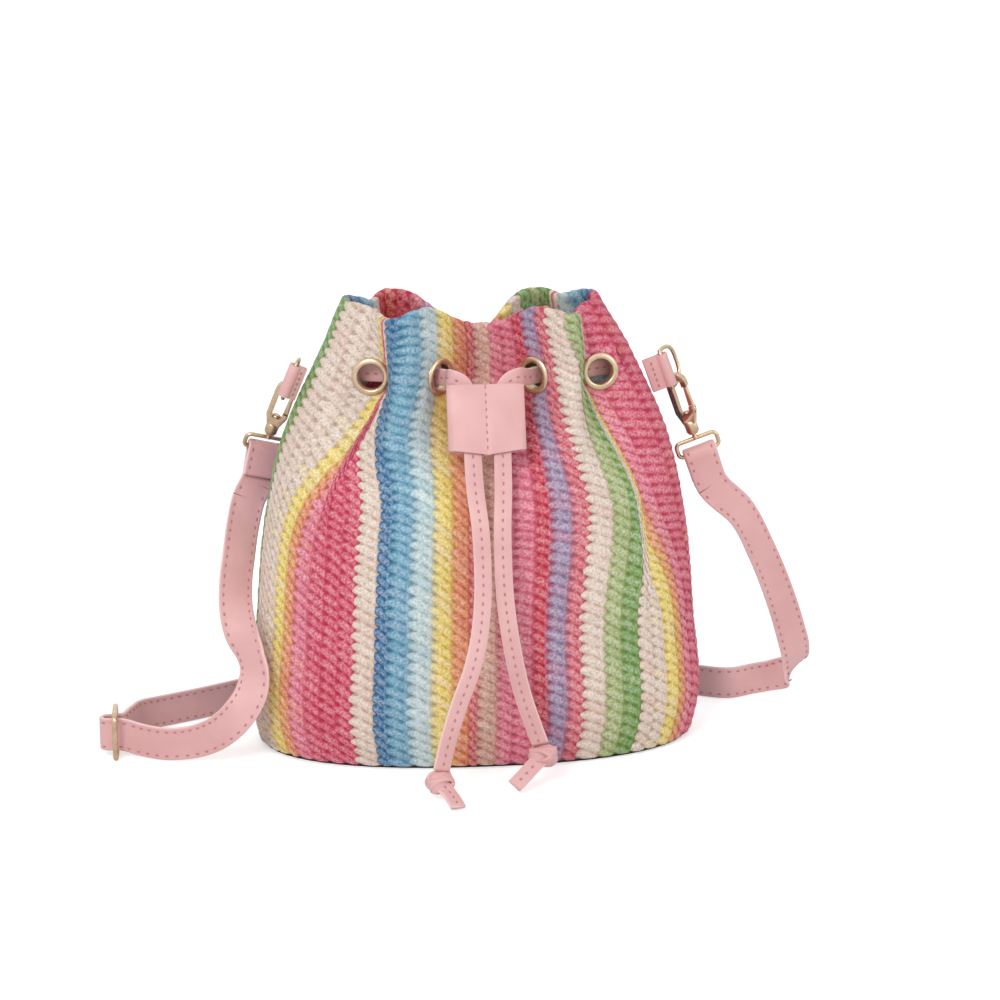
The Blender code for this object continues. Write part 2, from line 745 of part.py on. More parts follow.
# Routes of the hanging ends, chosen by hand, from the keeper to the knot
LEFT_END_ROUTE = [(-5.4, -56.5, 126.5), (-3.9, -62.5, 112.0), (-3.5, -67.0, 99.0),
                  (-4.0, -72.5, 83.0), (-6.0, -77.0, 68.0), (-9.5, -80.5, 55.0),
                  (-14.6, -82.6, 42.0), (-19.4, -83.8, 27.0), (-22.8, -84.0, 12.5)]
RIGHT_END_ROUTE = [(6.4, -56.5, 126.5), (5.5, -62.0, 112.0), (5.3, -66.0, 99.0),
                   (5.9, -69.2, 83.0), (7.6, -71.2, 68.0), (10.0, -72.2, 54.0),
                   (12.8, -72.5, 42.0), (16.6, -72.5, 30.0), (20.6, -72.2, 18.6)]
LEFT_KNOT = Vector((-23.5, -84.0, 7.6)) * MM
RIGHT_KNOT = Vector((22.0, -72.0, 13.6)) * MM
LEFT_TAIL = [(-21.1, -88.8, 5.4), (-18.9, -94.6, 3.8), (-17.2, -100.6, 2.2)]
RIGHT_TAIL = [(18.2, -75.8, 10.9), (13.4, -79.4, 7.4), (8.4, -83.2, 4.0)]


def make_hanging_end(side, group, material, route, knot, tail, tilt):
    down, outward, across = keeper_axes()
    sign = -1 if side == "left" else 1
    start = KEEPER_CENTRE + down * KEEPER_LENGTH / 2 + across * sign * LACE_SPREAD
    stations = [station(start, across)]
    stations += [station(Vector(p) * MM, (1.0, tilt * i / len(route), 0.0))
                 for i, p in enumerate(route)]
    end = strip("drawstring_end_" + side, group, smooth_stations(stations, 6.0 * MM),
                LACE_WIDTH, LACE_THICKNESS)
    shade(end, material)

    knot_mesh = bpy.data.meshes.new("knot_" + side)
    work = bmesh.new()
    bmesh.ops.create_uvsphere(work, u_segments=12, v_segments=8, radius=KNOT_RADIUS)
    bmesh.ops.scale(work, verts=work.verts, vec=(1.05, 0.85, 0.78))
    work.to_mesh(knot_mesh)
    work.free()
    ball = bpy.data.objects.new("knot_" + side, knot_mesh)
    group.objects.link(ball)
    place(ball, Matrix.Translation(knot))
    shade(ball, material)

    points = [station(Vector(p) * MM, (0.9, 0.3 * sign, 0.15 * sign)) for p in tail]
    piece = strip("drawstring_tail_" + side, group, smooth_stations(points, 3.0 * MM),
                  LACE_WIDTH * 0.9, LACE_THICKNESS)
    shade(piece, material)


# Side tabs, D rings, snap hooks and strap eyes: how each side hangs at rest

SIDES = {
    "left": {
        "tab_length": 5.0 * MM,
        "bar_axis": Vector((-0.37, 0.12, -0.92)),
        "tab_direction": Vector((-0.92, -0.03, 0.37)),
        "ring_swing": Vector((0.16, 0.98, 0.02)),
        "hook_seat": 8.3 * MM,
        "hook_direction": Vector((-0.295, 0.42, -0.855)),
        "eye_axis": Vector((-0.92, -0.15, 0.22)),
    },
    "right": {
        "tab_length": 8.6 * MM,
        "bar_axis": Vector((0.342, 0.0, -0.94)),
        "tab_direction": Vector((0.94, 0.0, 0.342)),
        "ring_swing": Vector((0.51, 0.848, 0.143)),
        "hook_seat": 5.2 * MM,
        "hook_direction": Vector((0.336, 0.035, -0.941)),
        "eye_axis": Vector((0.94, 0.0, 0.336)),
    },
}


def side_frames(side):
    """Places of the tab's bar, the hook's contact on the ring, and their directions."""
    how = SIDES[side]
    sign = -1 if side == "left" else 1
    reach = WALL_THICKNESS / 2 + RIDGE_HEIGHT + CLEARANCE + TAB_STANDOFF
    root = Vector((sign * (section_value(SECTION_WIDTHS, TAB_HEIGHT) + reach), 0.0, TAB_HEIGHT))
    bar = how["bar_axis"].normalized()
    tab = across_only(how["tab_direction"], bar)
    swing = across_only(how["ring_swing"], bar)
    centre = root + tab * how["tab_length"]
    seat = how["hook_seat"]
    leg = RING_HALF_WIDTH * (1 - (seat / RING_DEPTH) ** RING_POWER) ** (1 / RING_POWER)
    contact = centre + bar * leg + swing * seat
    slope = (RING_HALF_WIDTH / RING_DEPTH) ** RING_POWER * (seat / leg) ** (RING_POWER - 1)
    wire_direction = (swing - bar * slope).normalized()
    hang = how["hook_direction"].normalized()
    return {"centre": centre, "bar": bar, "tab": tab, "swing": swing, "contact": contact,
            "wire": wire_direction, "hang": hang, "face": across_only(wire_direction, hang),
            "eye": across_only(how["eye_axis"], hang)}


def across_only(direction, axis):
    """Unit vector of the direction's part square to the axis."""
    return (direction - axis * direction.dot(axis)).normalized()


def make_tab(side, group, material):
    """Leather folded round the ring's bar, both layers sewn together as far as the bag."""
    f = side_frames(side)
    length = SIDES[side]["tab_length"]
    eye = RING_WIRE_RADIUS + RING_PLAY
    loop = eye + TAB_LAYER
    start = math.degrees(math.acos(TAB_LAYER / loop)) + 90.0
    outline = [(-length, -TAB_LAYER), *arc_points((0.0, 0.0), loop, -start, start, 16),
               (-length, TAB_LAYER)]
    hole = arc_points((0.0, 0.0), eye, 0.0, 330.0, 11)
    tab = plate("tab_" + side, group, [outline, hole], TAB_WIDTH)
    place(tab, frame_matrix(f["centre"], f["tab"], f["bar"]))
    shade(tab, material)


def make_d_ring(side, group, material):
    """Ring in its own plane: the straight bar on X, the bow along +Y."""
    f = side_frames(side)
    points = [(-RING_HALF_WIDTH, 0.0, 0.0), (0.0, 0.0, 0.0), (RING_HALF_WIDTH, 0.0, 0.0)]
    steps = 14
    for k in range(1, steps):
        angle = math.pi * k / steps
        x = math.copysign(abs(math.cos(angle)) ** (2 / RING_POWER), math.cos(angle))
        y = math.sin(angle) ** (2 / RING_POWER)
        points.append((RING_HALF_WIDTH * x, RING_DEPTH * y, 0.0))
    ring = wire("d_ring_" + side, group, points, RING_WIRE_RADIUS)
    place(ring, frame_matrix(f["centre"], f["bar"], f["bar"].cross(f["swing"])))
    shade(ring, material)


def hook_matrix(side):
    """Hook's frame: Z up its length, Y through its thickness, X towards its gate."""
    f = side_frames(side)
    z = -f["hang"]
    y = f["face"]
    x = y.cross(z)
    rotation = Matrix((x, y, z)).transposed().to_4x4()
    return Matrix.Translation(f["contact"]) @ rotation


def arc_points(centre, radius, start, end, steps):
    return [(centre[0] + radius * math.cos(math.radians(start + (end - start) * k / steps)),
             centre[1] + radius * math.sin(math.radians(start + (end - start) * k / steps)))
            for k in range(steps + 1)]


UPRIGHT = Matrix(((1, 0, 0, 0), (0, 0, -1, 0), (0, 1, 0, 0), (0, 0, 0, 1)))


def make_hook(side, group, cutters, material):
    matrix = hook_matrix(side)
    slot = HOOK_SLOT_WIDTH / 2
    outer = slot + HOOK_LEG
    slot_top = RING_WIRE_RADIUS + HOOK_SLACK
    bend = (0.0, slot_top - slot)
    neck = BARREL_RADIUS - 0.3 * MM
    outline = arc_points(bend, outer, 0, 180, 12)
    outline += [(-outer, HOOK_SLOT_BOTTOM + 1 * MM), (-neck, HOOK_BASE_BOTTOM),
                (neck, HOOK_BASE_BOTTOM), (outer, HOOK_SLOT_BOTTOM + 1 * MM)]
    hole = arc_points(bend, slot, 0, 180, 10)
    hole += [(-slot, HOOK_SLOT_BOTTOM), (slot, HOOK_SLOT_BOTTOM)]
    hook = plate("hook_" + side, group, [outline, hole], HOOK_THICKNESS)
    place(hook, matrix @ UPRIGHT)
    hook = to_mesh(hook, group)

    top = HOOK_BASE_BOTTOM + 1.2 * MM
    low = top - BARREL_LENGTH
    barrel = turned("hook_barrel_" + side, cutters,
                    [(0.0, top), (BARREL_RADIUS * 0.75, top), (BARREL_RADIUS, top - 1.2 * MM),
                     (BARREL_RADIUS, low + 1.2 * MM), (BARREL_RADIUS * 0.75, low), (0.0, low)], 14)
    place(barrel, matrix)
    boolean(hook, "UNION", [barrel], cutters)

    bore_top = HOOK_SLOT_BOTTOM + 0.5 * MM
    bore_radius = SWIVEL_RADIUS + CLEARANCE / math.cos(math.pi / SWIVEL_SIDES)
    bore = turned("hook_bore_" + side, cutters,
                  [(0.0, bore_top), (bore_radius, bore_top), (bore_radius, low - 1 * MM),
                   (0.0, low - 1 * MM)], SWIVEL_SIDES)
    place(bore, matrix)

    mouth_low = GATE_PIVOT_Z + GATE_ROUND + CLEARANCE
    mouth = box_cutter("hook_mouth_" + side, cutters, matrix,
                       (slot - 0.4 * MM, outer + 1 * MM), (-HOOK_THICKNESS, HOOK_THICKNESS),
                       (mouth_low, MOUTH_TOP))
    fork = box_cutter("hook_fork_" + side, cutters, matrix,
                      (slot - 0.6 * MM, outer + 1 * MM),
                      (-GATE_THICKNESS / 2 - CLEARANCE, GATE_THICKNESS / 2 + CLEARANCE),
                      (GATE_PIVOT_Z - GATE_ROUND - CLEARANCE, mouth_low + 0.5 * MM))
    boolean(hook, "DIFFERENCE", [bore, mouth, fork], cutters)

    reach = HOOK_THICKNESS / 2 - 0.2 * MM
    pin = turned("gate_pin_" + side, cutters,
                 [(0.0, reach), (GATE_PIN_RADIUS, reach), (GATE_PIN_RADIUS, -reach), (0.0, -reach)],
                 10)
    place(pin, matrix @ Matrix.Translation((gate_pivot_x(), 0.0, GATE_PIVOT_Z)) @ UPRIGHT)
    boolean(hook, "UNION", [pin], cutters)
    shade(hook, material)


def gate_pivot_x():
    return HOOK_SLOT_WIDTH / 2 + HOOK_LEG / 2


def box_cutter(name, group, matrix, xs, ys, zs):
    work = bmesh.new()
    bmesh.ops.create_cube(work, size=1.0)
    bmesh.ops.scale(work, verts=work.verts, vec=(xs[1] - xs[0], ys[1] - ys[0], zs[1] - zs[0]))
    bmesh.ops.translate(work, verts=work.verts,
                        vec=((xs[0] + xs[1]) / 2, (ys[0] + ys[1]) / 2, (zs[0] + zs[1]) / 2))
    mesh = bpy.data.meshes.new(name)
    work.to_mesh(mesh)
    work.free()
    item = bpy.data.objects.new(name, mesh)
    group.objects.link(item)
    place(item, matrix)
    return item


def make_gate(side, group, material):
    """Sprung gate: a round end on the pin and a bar up to the hook's nose."""
    matrix = hook_matrix(side)
    reach = MOUTH_TOP - CLEARANCE - GATE_PIVOT_Z
    half = GATE_BAR / 2
    outline = [(half, reach), (-half, reach)] + arc_points((0.0, 0.0), GATE_ROUND, 150, 390, 12)
    pin_hole = arc_points((0.0, 0.0), GATE_PIN_RADIUS + CLEARANCE, 0, 324, 9)
    gate = plate("gate_" + side, group, [outline, pin_hole], GATE_THICKNESS)
    place(gate, matrix @ Matrix.Translation((gate_pivot_x(), 0.0, GATE_PIVOT_Z)) @ UPRIGHT)
    shade(gate, material)


def rounded_rectangle(half_x, half_y, radius, steps=4):
    points = []
    for cx, cy, start in ((half_x - radius, half_y - radius, 0), (radius - half_x, half_y - radius, 90),
                          (radius - half_x, radius - half_y, 180), (half_x - radius, radius - half_y, 270)):
        points += arc_points((cx, cy), radius, start, start + 90, steps)
    return points


def eye_centre(side):
    """Middle of the eye's lower bar, which carries the strap."""
    f = side_frames(side)
    return f["contact"] + f["hang"] * (SWIVEL_LENGTH + EYE_HEIGHT)


def make_eye(side, group, cutters, material):
    """Swivel eye: a wire loop on a stem that turns in the hook's barrel."""
    f = side_frames(side)
    z = -f["hang"]
    x = f["eye"]
    y = z.cross(x)
    matrix = Matrix.Translation(f["contact"]) @ Matrix((x, y, z)).transposed().to_4x4()
    loop = [(px, 0.0, pz - SWIVEL_LENGTH - EYE_HEIGHT / 2)
            for px, pz in rounded_rectangle(EYE_HALF_WIDTH, EYE_HEIGHT / 2, EYE_CORNER, 3)]
    eye = wire("strap_eye_" + side, group, loop, EYE_WIRE_RADIUS)
    place(eye, matrix)
    eye = to_mesh(eye, group)
    head_low = HOOK_SLOT_BOTTOM + CLEARANCE
    head_top = head_low + SWIVEL_HEAD
    stem = turned("swivel_stem_" + side, cutters,
                  [(0.0, head_top), (SWIVEL_HEAD_RADIUS * 0.7, head_top),
                   (SWIVEL_HEAD_RADIUS, head_low + 0.3 * MM), (SWIVEL_HEAD_RADIUS, head_low),
                   (SWIVEL_RADIUS, head_low), (SWIVEL_RADIUS, -SWIVEL_LENGTH), (0.0, -SWIVEL_LENGTH)],
                  SWIVEL_SIDES)
    place(stem, matrix)
    boolean(eye, "UNION", [stem], cutters)
    shade(eye, material)


# Shoulder strap, as it lies: routes chosen by hand in millimetres, with the width's direction

RIGHT_ROUTE = [
    (121.6, 8.0, 96.0, 0.78, 0.42, 0.46), (131.8, 13.0, 77.0, 0.74, 0.38, 0.55),
    (140.8, 18.0, 56.4, 0.74, 0.28, 0.61), (148.0, 22.5, 36.0, 0.78, 0.18, 0.60),
    (151.6, 26.0, 23.5, 0.80, 0.14, 0.56), (152.4, 31.5, 15.4, 0.70, 0.10, 0.70),
    (149.8, 36.4, 10.6, 0.44, 0.18, 0.88), (143.6, 38.2, 8.6, 0.12, 0.04, 0.99),
    (134.0, 36.2, 7.9, 0.0, 0.0, 1.0), (122.0, 31.4, 7.8, 0.0, 0.0, 1.0), (109.0, 36.0, 7.8, 0.0, 0.0, 1.0),
    (95.0, 49.0, 7.8, 0.0, 0.0, 1.0), (70.0, 64.0, 7.8, 0.0, 0.0, 1.0),
    (36.0, 71.0, 7.8, 0.0, 0.0, 1.0), (0.0, 73.0, 7.8, 0.0, 0.0, 1.0),
    (-40.0, 70.0, 7.8, 0.0, 0.0, 1.0), (-78.0, 57.0, 7.8, 0.0, 0.0, 1.0),
    (-104.0, 40.0, 7.8, 0.0, 0.0, 1.0), (-122.0, 29.0, 7.8, 0.0, 0.0, 1.0),
    (-142.0, 17.0, 8.2, 0.0, 0.0, 1.0), (-150.0, 9.0, 9.4, 0.0, 0.0, 1.0),
    (-155.0, -4.0, 10.6, 0.0, 0.0, 1.0),
]
LEFT_ROUTE = [
    (-99.8, 16.0, 106.7, -0.94, -0.10, 0.20), (-102.6, 9.4, 97.4, -0.93, -0.20, 0.16),
    (-104.8, 1.0, 86.4, -0.92, -0.28, 0.12), (-106.8, -8.0, 73.7, -0.93, -0.22, 0.10),
    (-106.8, -15.0, 64.9, -0.94, 0.06, 0.20),
    (-105.0, -21.0, 56.6, -0.80, 0.42, 0.28), (-101.4, -26.6, 48.8, -0.66, 0.66, 0.30),
    (-99.8, -30.4, 41.6, -0.60, 0.68, 0.42), (-101.4, -34.0, 32.8, -0.68, 0.52, 0.52),
    (-106.6, -35.4, 24.4, -0.66, 0.34, 0.66), (-114.0, -33.4, 16.4, -0.44, 0.22, 0.86),
    (-122.8, -29.2, 10.6, -0.16, 0.10, 0.98), (-131.6, -26.8, 8.2, 0.0, 0.0, 1.0),
    (-140.0, -25.4, 7.9, 0.0, 0.0, 1.0), (-150.0, -21.6, 8.8, 0.0, 0.0, 1.0),
]


def millimetre_stations(rows):
    return [(x * MM, y * MM, z * MM, wx, wy, wz) for x, y, z, wx, wy, wz in rows]


def fold_round(bar, along, across, layer, tail):
    """Sewn fold of a strap round an eye's bar, from the end of its short layer."""
    wrap = EYE_WIRE_RADIUS + STRAP_PLAY + STRAP_THICKNESS / 2
    side = along.cross(across).normalized()
    near = 4.0 * MM
    far = 9.0 * MM
    half = (wrap + layer) / 2
    short = [station(bar + along * (far + tail * share) - side * layer, across)
             for share in (1.0, 0.5, 0.0)]
    short.append(station(bar + along * near - side * half, across))
    turn = [station(bar - side * wrap * math.cos(angle) - along * wrap * math.sin(angle), across)
            for angle in [math.pi * k / 8 for k in range(9)]]
    long = [station(bar + along * near + side * half, across),
            station(bar + along * far + side * layer, across),
            station(bar + along * (far + tail) + side * layer, across)]
    return short + turn + long


def eye_fold(side, first):
    """Fold at one side's eye, heading for the first place of the strap's route."""
    bar = eye_centre(side)
    across = side_frames(side)["eye"]
    along = across_only(Vector(first[:3]) - bar, across)
    layer = (STRAP_THICKNESS + STRAP_LAYER_GAP) / 2
    return fold_round(bar, along, across, layer, STRAP_TAIL)


def make_strap(group, material):
    """One long leather strip with a sewn fold at each eye: from the right one down and round
    behind the bag, round the adjuster's middle bar, then along the floor and up to the left one."""
    z = ADJUSTER_HALF_HEIGHT + ADJUSTER_WIRE_RADIUS
    up = (0.0, 0.0, 1.0)
    middle = Vector((ADJUSTER_X, ADJUSTER_Y, z))
    turn = ADJUSTER_WIRE_RADIUS + ADJUSTER_PLAY + STRAP_THICKNESS / 2
    angles = [math.radians(a) for a in range(0, 181, 30)]
    entry = [station(middle + Vector((2.0 * MM, turn + 0.2 * MM, 0.0)), up)]
    round_bar = [station(middle + Vector((-ADJUSTER_LOOP - turn * math.sin(a),
                                          turn * math.cos(a), 0.0)), up) for a in angles]
    leave = [station(middle + Vector((2.0 * MM, -turn - 0.2 * MM, 0.0)), up)]

    right = millimetre_stations(RIGHT_ROUTE)
    left = millimetre_stations(LEFT_ROUTE)
    start = eye_fold("right", right[0])
    end = eye_fold("left", left[0])
    runs = start + right + entry + round_bar + leave + left[::-1] + end[::-1]
    stations = adaptive(smooth_line(runs, 6), 1.2 * MM)
    strap = strip("shoulder_strap", group, stations, STRAP_WIDTH, STRAP_THICKNESS)
    shade(strap, material)


def adaptive(line, shortest):
    """Thin out a dense line: far steps on straight stretches, short ones in tight bends."""
    kept = [line[0]]
    for i in range(1, len(line) - 1):
        step = np.linalg.norm(line[i][:3] - kept[-1][:3])
        before = line[i][:3] - kept[-1][:3]
        after = line[i + 1][:3] - line[i][:3]
        if step < shortest or np.linalg.norm(after) == 0:
            continue
        cosine = np.dot(before, after) / (np.linalg.norm(before) * np.linalg.norm(after))
        bend = math.degrees(math.acos(min(max(cosine, -1.0), 1.0)))
        if bend > 9.0 or step > 8.0 * MM:
            kept.append(line[i])
    kept.append(line[-1])
    return kept


def make_adjuster(group, cutters, material):
    """Three-bar slide: a wire rectangle with a middle bar, standing on its end."""
    z = ADJUSTER_HALF_HEIGHT + ADJUSTER_WIRE_RADIUS
    loop = [(0.0, py, pz) for py, pz in
            rounded_rectangle(ADJUSTER_HALF_SPAN, ADJUSTER_HALF_HEIGHT, 1.8 * MM)]
    slide = wire("strap_adjuster", group, loop, ADJUSTER_WIRE_RADIUS)
    place(slide, Matrix.Translation((ADJUSTER_X, ADJUSTER_Y, z)))
    slide = to_mesh(slide, group)
    half = ADJUSTER_HALF_HEIGHT
    r = ADJUSTER_WIRE_RADIUS * 0.97
    middle = turned("adjuster_bar", cutters, [(0.0, half), (r, half), (r, -half), (0.0, -half)], 8)
    place(middle, Matrix.Translation((ADJUSTER_X, ADJUSTER_Y, z)))
    boolean(slide, "UNION", [middle], cutters)
    shade(slide, material)


def build():
    clear_scene()
    parts = make_collection("straw_shoulder_bag")
    cutters = make_collection("cutters")
    straw = make_material("straw_weave", STRAW, 0.75)
    brown = make_material("base_board", BROWN, 0.6)
    cloth = make_material("lining_cloth", CLOTH, 0.85)
    leather = make_material("pink_leather", PINK_LEATHER, 0.5)
    gold = make_material("pale_gold", PALE_GOLD, 0.28, 1.0)

    places = eyelet_places()
    make_body(parts, cutters, straw, places)
    make_base_panel(parts, brown)
    make_lining(parts, cloth)
    for name, (centre, normal) in places.items():
        make_eyelet("eyelet_" + name, parts, gold, centre, normal)
    make_keeper(parts, leather)
    make_drawstring(parts, leather, places)
    make_hanging_end("left", parts, leather, LEFT_END_ROUTE, LEFT_KNOT, LEFT_TAIL, 0.3)
    make_hanging_end("right", parts, leather, RIGHT_END_ROUTE, RIGHT_KNOT, RIGHT_TAIL, -0.3)
    for side in SIDES:
        make_tab(side, parts, leather)
        make_d_ring(side, parts, gold)
        make_hook(side, parts, cutters, gold)
        make_gate(side, parts, gold)
        make_eye(side, parts, cutters, gold)
    make_strap(parts, leather)
    make_adjuster(parts, cutters, gold)


build()
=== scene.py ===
"""Looks of the straw shoulder bag: striped weave, pale gold fittings and pink leather.

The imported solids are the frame. Each section is one piece of the bag, or a group of like
pieces, in the order in which the bag is put together.
"""
import math

import bmesh
import bpy
import numpy as np
from mathutils import Matrix, Vector


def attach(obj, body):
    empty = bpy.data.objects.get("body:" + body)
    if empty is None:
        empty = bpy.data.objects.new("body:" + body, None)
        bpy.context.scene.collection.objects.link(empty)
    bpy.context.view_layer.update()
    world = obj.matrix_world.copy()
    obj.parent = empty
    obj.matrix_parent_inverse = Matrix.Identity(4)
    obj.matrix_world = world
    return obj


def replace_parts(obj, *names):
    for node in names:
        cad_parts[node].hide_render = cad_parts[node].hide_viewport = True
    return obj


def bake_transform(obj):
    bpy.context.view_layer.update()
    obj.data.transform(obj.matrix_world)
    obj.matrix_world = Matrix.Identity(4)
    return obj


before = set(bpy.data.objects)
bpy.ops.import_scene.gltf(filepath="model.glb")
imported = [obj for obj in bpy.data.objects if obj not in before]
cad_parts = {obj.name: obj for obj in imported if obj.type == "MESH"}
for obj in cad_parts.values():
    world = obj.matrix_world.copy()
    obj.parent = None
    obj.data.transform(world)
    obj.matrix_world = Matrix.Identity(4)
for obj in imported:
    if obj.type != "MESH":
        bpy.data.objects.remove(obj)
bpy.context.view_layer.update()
scene = bpy.context.scene
scene.view_settings.view_transform = "Standard"


# ---- View -----------------------------------------------------------------------------
# A long lens, a little above the bag and a little to its left. The bag's own origin, the
# centre of the base on the floor, falls on a known pixel of the square picture.

MM = 0.001
PICTURE_SIDE = 1000
SENSOR_WIDTH = 36.0
VIEW_AZIMUTH = math.radians(-6.0)
VIEW_ELEVATION = math.radians(15.0)
VIEW_DEPTH = 1.3
PIXEL_SIZE = 0.4525 * MM
BASE_CENTRE_PIXEL = (476, 730)

forward = Vector((-math.sin(VIEW_AZIMUTH) * math.cos(VIEW_ELEVATION),
                  math.cos(VIEW_AZIMUTH) * math.cos(VIEW_ELEVATION),
                  -math.sin(VIEW_ELEVATION)))
rightward = Vector((math.cos(VIEW_AZIMUTH), math.sin(VIEW_AZIMUTH), 0.0))
upward = rightward.cross(forward)
aside = (BASE_CENTRE_PIXEL[0] - PICTURE_SIDE / 2) * PIXEL_SIZE
below = (BASE_CENTRE_PIXEL[1] - PICTURE_SIDE / 2) * PIXEL_SIZE


def put_in(name, data):
    """Object with its data, in the scene."""
    item = bpy.data.objects.new(name, data)
    scene.collection.objects.link(item)
    return item


camera = put_in("camera", bpy.data.cameras.new("camera"))
camera.data.sensor_width = SENSOR_WIDTH
camera.data.lens = SENSOR_WIDTH * VIEW_DEPTH / PIXEL_SIZE / PICTURE_SIDE
turned_to_bag = Matrix((rightward, upward, -forward)).transposed().to_4x4()
stand = -(forward * VIEW_DEPTH + rightward * aside - upward * below)
camera.matrix_world = Matrix.Translation(stand) @ turned_to_bag
scene.camera = camera


# ---- Lace ends ------------------------------------------------------------------------
# Two flat laces of folded pink leather, sewn along the middle, that hang out of the slide
# in front of the bag. Each ends in a knot of its own lace and a short tail.

LACE_WIDTH = 7.5 * MM
LACE_THICKNESS = 2.0 * MM
LACE_STEP = 1.2 * MM
FINE_STEPS = 12
LACE_STITCH_PITCH = 3.9 * MM
STITCH_LENGTH = 1.7 * MM
STITCH_WIDTH = 0.95 * MM
STITCH_HEIGHT = 0.28 * MM
STITCH_SINK = 0.05 * MM
SLIDE_CENTRE = Vector((0.4, -44.0, 155.5)) * MM
SLIDE_LENGTH = 28.0 * MM
SLIDE_SLOPE = math.atan2(0.40, 0.917)
LACE_SPREAD = 6.4 * MM


def srgb(red, green, blue):
    """Colour as it is seen, turned into the light values that shaders use."""
    seen = (red, green, blue)
    return tuple(v / 12.92 if v <= 0.04045 else ((v + 0.055) / 1.055) ** 2.4 for v in seen) + (1.0,)


def node_maker(tree):
    """Function that adds a node with its settings, and its inputs set or linked."""
    def add(kind, inputs, **settings):
        node = tree.nodes.new("ShaderNode" + kind)
        for key, value in settings.items():
            setattr(node, key, value)
        for key, value in inputs.items():
            if isinstance(value, bpy.types.NodeSocket):
                tree.links.new(value, node.inputs[key])
            else:
                node.inputs[key].default_value = value
        return node

    return add


def new_finish(name):
    """Material with its shader, a maker of nodes, a way to feed the shader, and the place."""
    material = bpy.data.materials.new(name)
    material.use_nodes = True
    tree = material.node_tree
    shader = tree.nodes["Principled BSDF"]
    add = node_maker(tree)

    def feed(key, source):
        tree.links.new(source, shader.inputs[key])

    return material, shader, add, feed, add("TexCoord", {}).outputs["Object"]


def mix_colours(add, share, first, second):
    """Colour socket between two colours."""
    return add("Mix", {0: share, 6: first, 7: second}, data_type="RGBA").outputs[2]


def combined(add, first, second, operation="MULTIPLY"):
    """Product of two values, or what another operation makes of them."""
    return add("Math", {0: first, 1: second}, operation=operation).outputs[0]


def spread(add, value, low, high, to_low, to_high):
    """Value moved from one range to another, and kept inside it."""
    return add("MapRange", {"Value": value, "From Min": low, "From Max": high,
                            "To Min": to_low, "To Max": to_high}).outputs[0]


def noise(add, place, scale, detail, roughness=0.5, **settings):
    """Cloudy pattern from 0 to 1."""
    return add("TexNoise", {"Vector": place, "Scale": scale, "Detail": detail,
                            "Roughness": roughness}, **settings).outputs[0]


def raised(add, height, strength, depth, **under):
    """Surface direction that a height pattern of a given depth gives."""
    return add("Bump", {"Height": height, "Strength": strength, "Distance": depth,
                        **under}).outputs[0]


LEATHER_PINK = srgb(0.905, 0.718, 0.712)
LEATHER_ROSE = srgb(0.855, 0.652, 0.650)
LEATHER_EDGE = srgb(0.960, 0.830, 0.815)
GRAIN_CELLS = 1500.0
CREASE_SCALE = 420.0
TONE_SCALE = 32.0

leather, shader, add, feed, place = new_finish("pink_leather")
tone = noise(add, place, TONE_SCALE, 4.0)
crease = noise(add, place, CREASE_SCALE, 6.0, 0.65)
pebble = add("TexVoronoi", {"Vector": place, "Scale": GRAIN_CELLS},
             feature="DISTANCE_TO_EDGE").outputs[0]
pores = spread(add, pebble, 0.0, 0.22, 0.0, 1.0)
worn = add("Attribute", {}, attribute_name="raw_edge").outputs["Fac"]
patchy = spread(add, tone, 0.35, 0.65, 0.0, 1.0)
skin = mix_colours(add, patchy, LEATHER_PINK, LEATHER_ROSE)
pored = mix_colours(add, spread(add, pebble, 0.0, 0.10, 0.16, 0.0), skin, LEATHER_ROSE)
feed("Base Color", mix_colours(add, worn, pored, LEATHER_EDGE))
feed("Roughness", spread(add, crease, 0.3, 0.7, 0.38, 0.56))
feed("Normal", raised(add, combined(add, pores, crease, "ADD"), 0.22, 0.12 * MM))
shader.inputs["Specular IOR Level"].default_value = 0.42
shader.inputs["Coat Weight"].default_value = 0.06
shader.inputs["Coat Roughness"].default_value = 0.35
shader.inputs["Sheen Weight"].default_value = 0.05

THREAD_ROSE = srgb(0.80, 0.57, 0.58)
THREAD_SHADE = srgb(0.68, 0.45, 0.47)
TWIST_SCALE = 900.0

thread, shader, add, feed, place = new_finish("rose_thread")
twist = add("TexWave", {"Vector": place, "Scale": TWIST_SCALE, "Distortion": 2.0}).outputs["Fac"]
feed("Base Color", mix_colours(add, twist, THREAD_SHADE, THREAD_ROSE))
feed("Roughness", spread(add, twist, 0.0, 1.0, 0.72, 0.6))
feed("Normal", raised(add, twist, 0.4, 0.1 * MM))


def between(t, span, first, second, leaving, arriving):
    """Value at t, 0 to 1, on a smooth curve between two values with given slopes."""
    return ((2 * t ** 3 - 3 * t ** 2 + 1) * first + (t ** 3 - 2 * t ** 2 + t) * span * leaving
            + (3 * t ** 2 - 2 * t ** 3) * second + (t ** 3 - t ** 2) * span * arriving)


def smooth_line(stations, steps):
    """Smooth line through unevenly spaced stations, without overshoot."""
    table = np.array(stations, dtype=float)
    spans = np.linalg.norm(np.diff(table[:, :3], axis=0), axis=1)
    slopes = np.diff(table, axis=0) / spans[:, None]
    tangents = np.empty_like(table)
    tangents[0] = slopes[0]
    tangents[-1] = slopes[-1]
    before = spans[:-1, None]
    after = spans[1:, None]
    tangents[1:-1] = (slopes[:-1] * after + slopes[1:] * before) / (before + after)
    line = []
    for i, h in enumerate(spans):
        line += [between(k / steps, h, table[i], table[i + 1], tangents[i], tangents[i + 1])
                 for k in range(steps)]
    line.append(table[-1])
    return np.array(line)


def run_lengths(line):
    """Distance along a line at each of its points."""
    steps = np.linalg.norm(np.diff(line[:, :3], axis=0), axis=1)
    return np.concatenate([[0.0], np.cumsum(steps)])


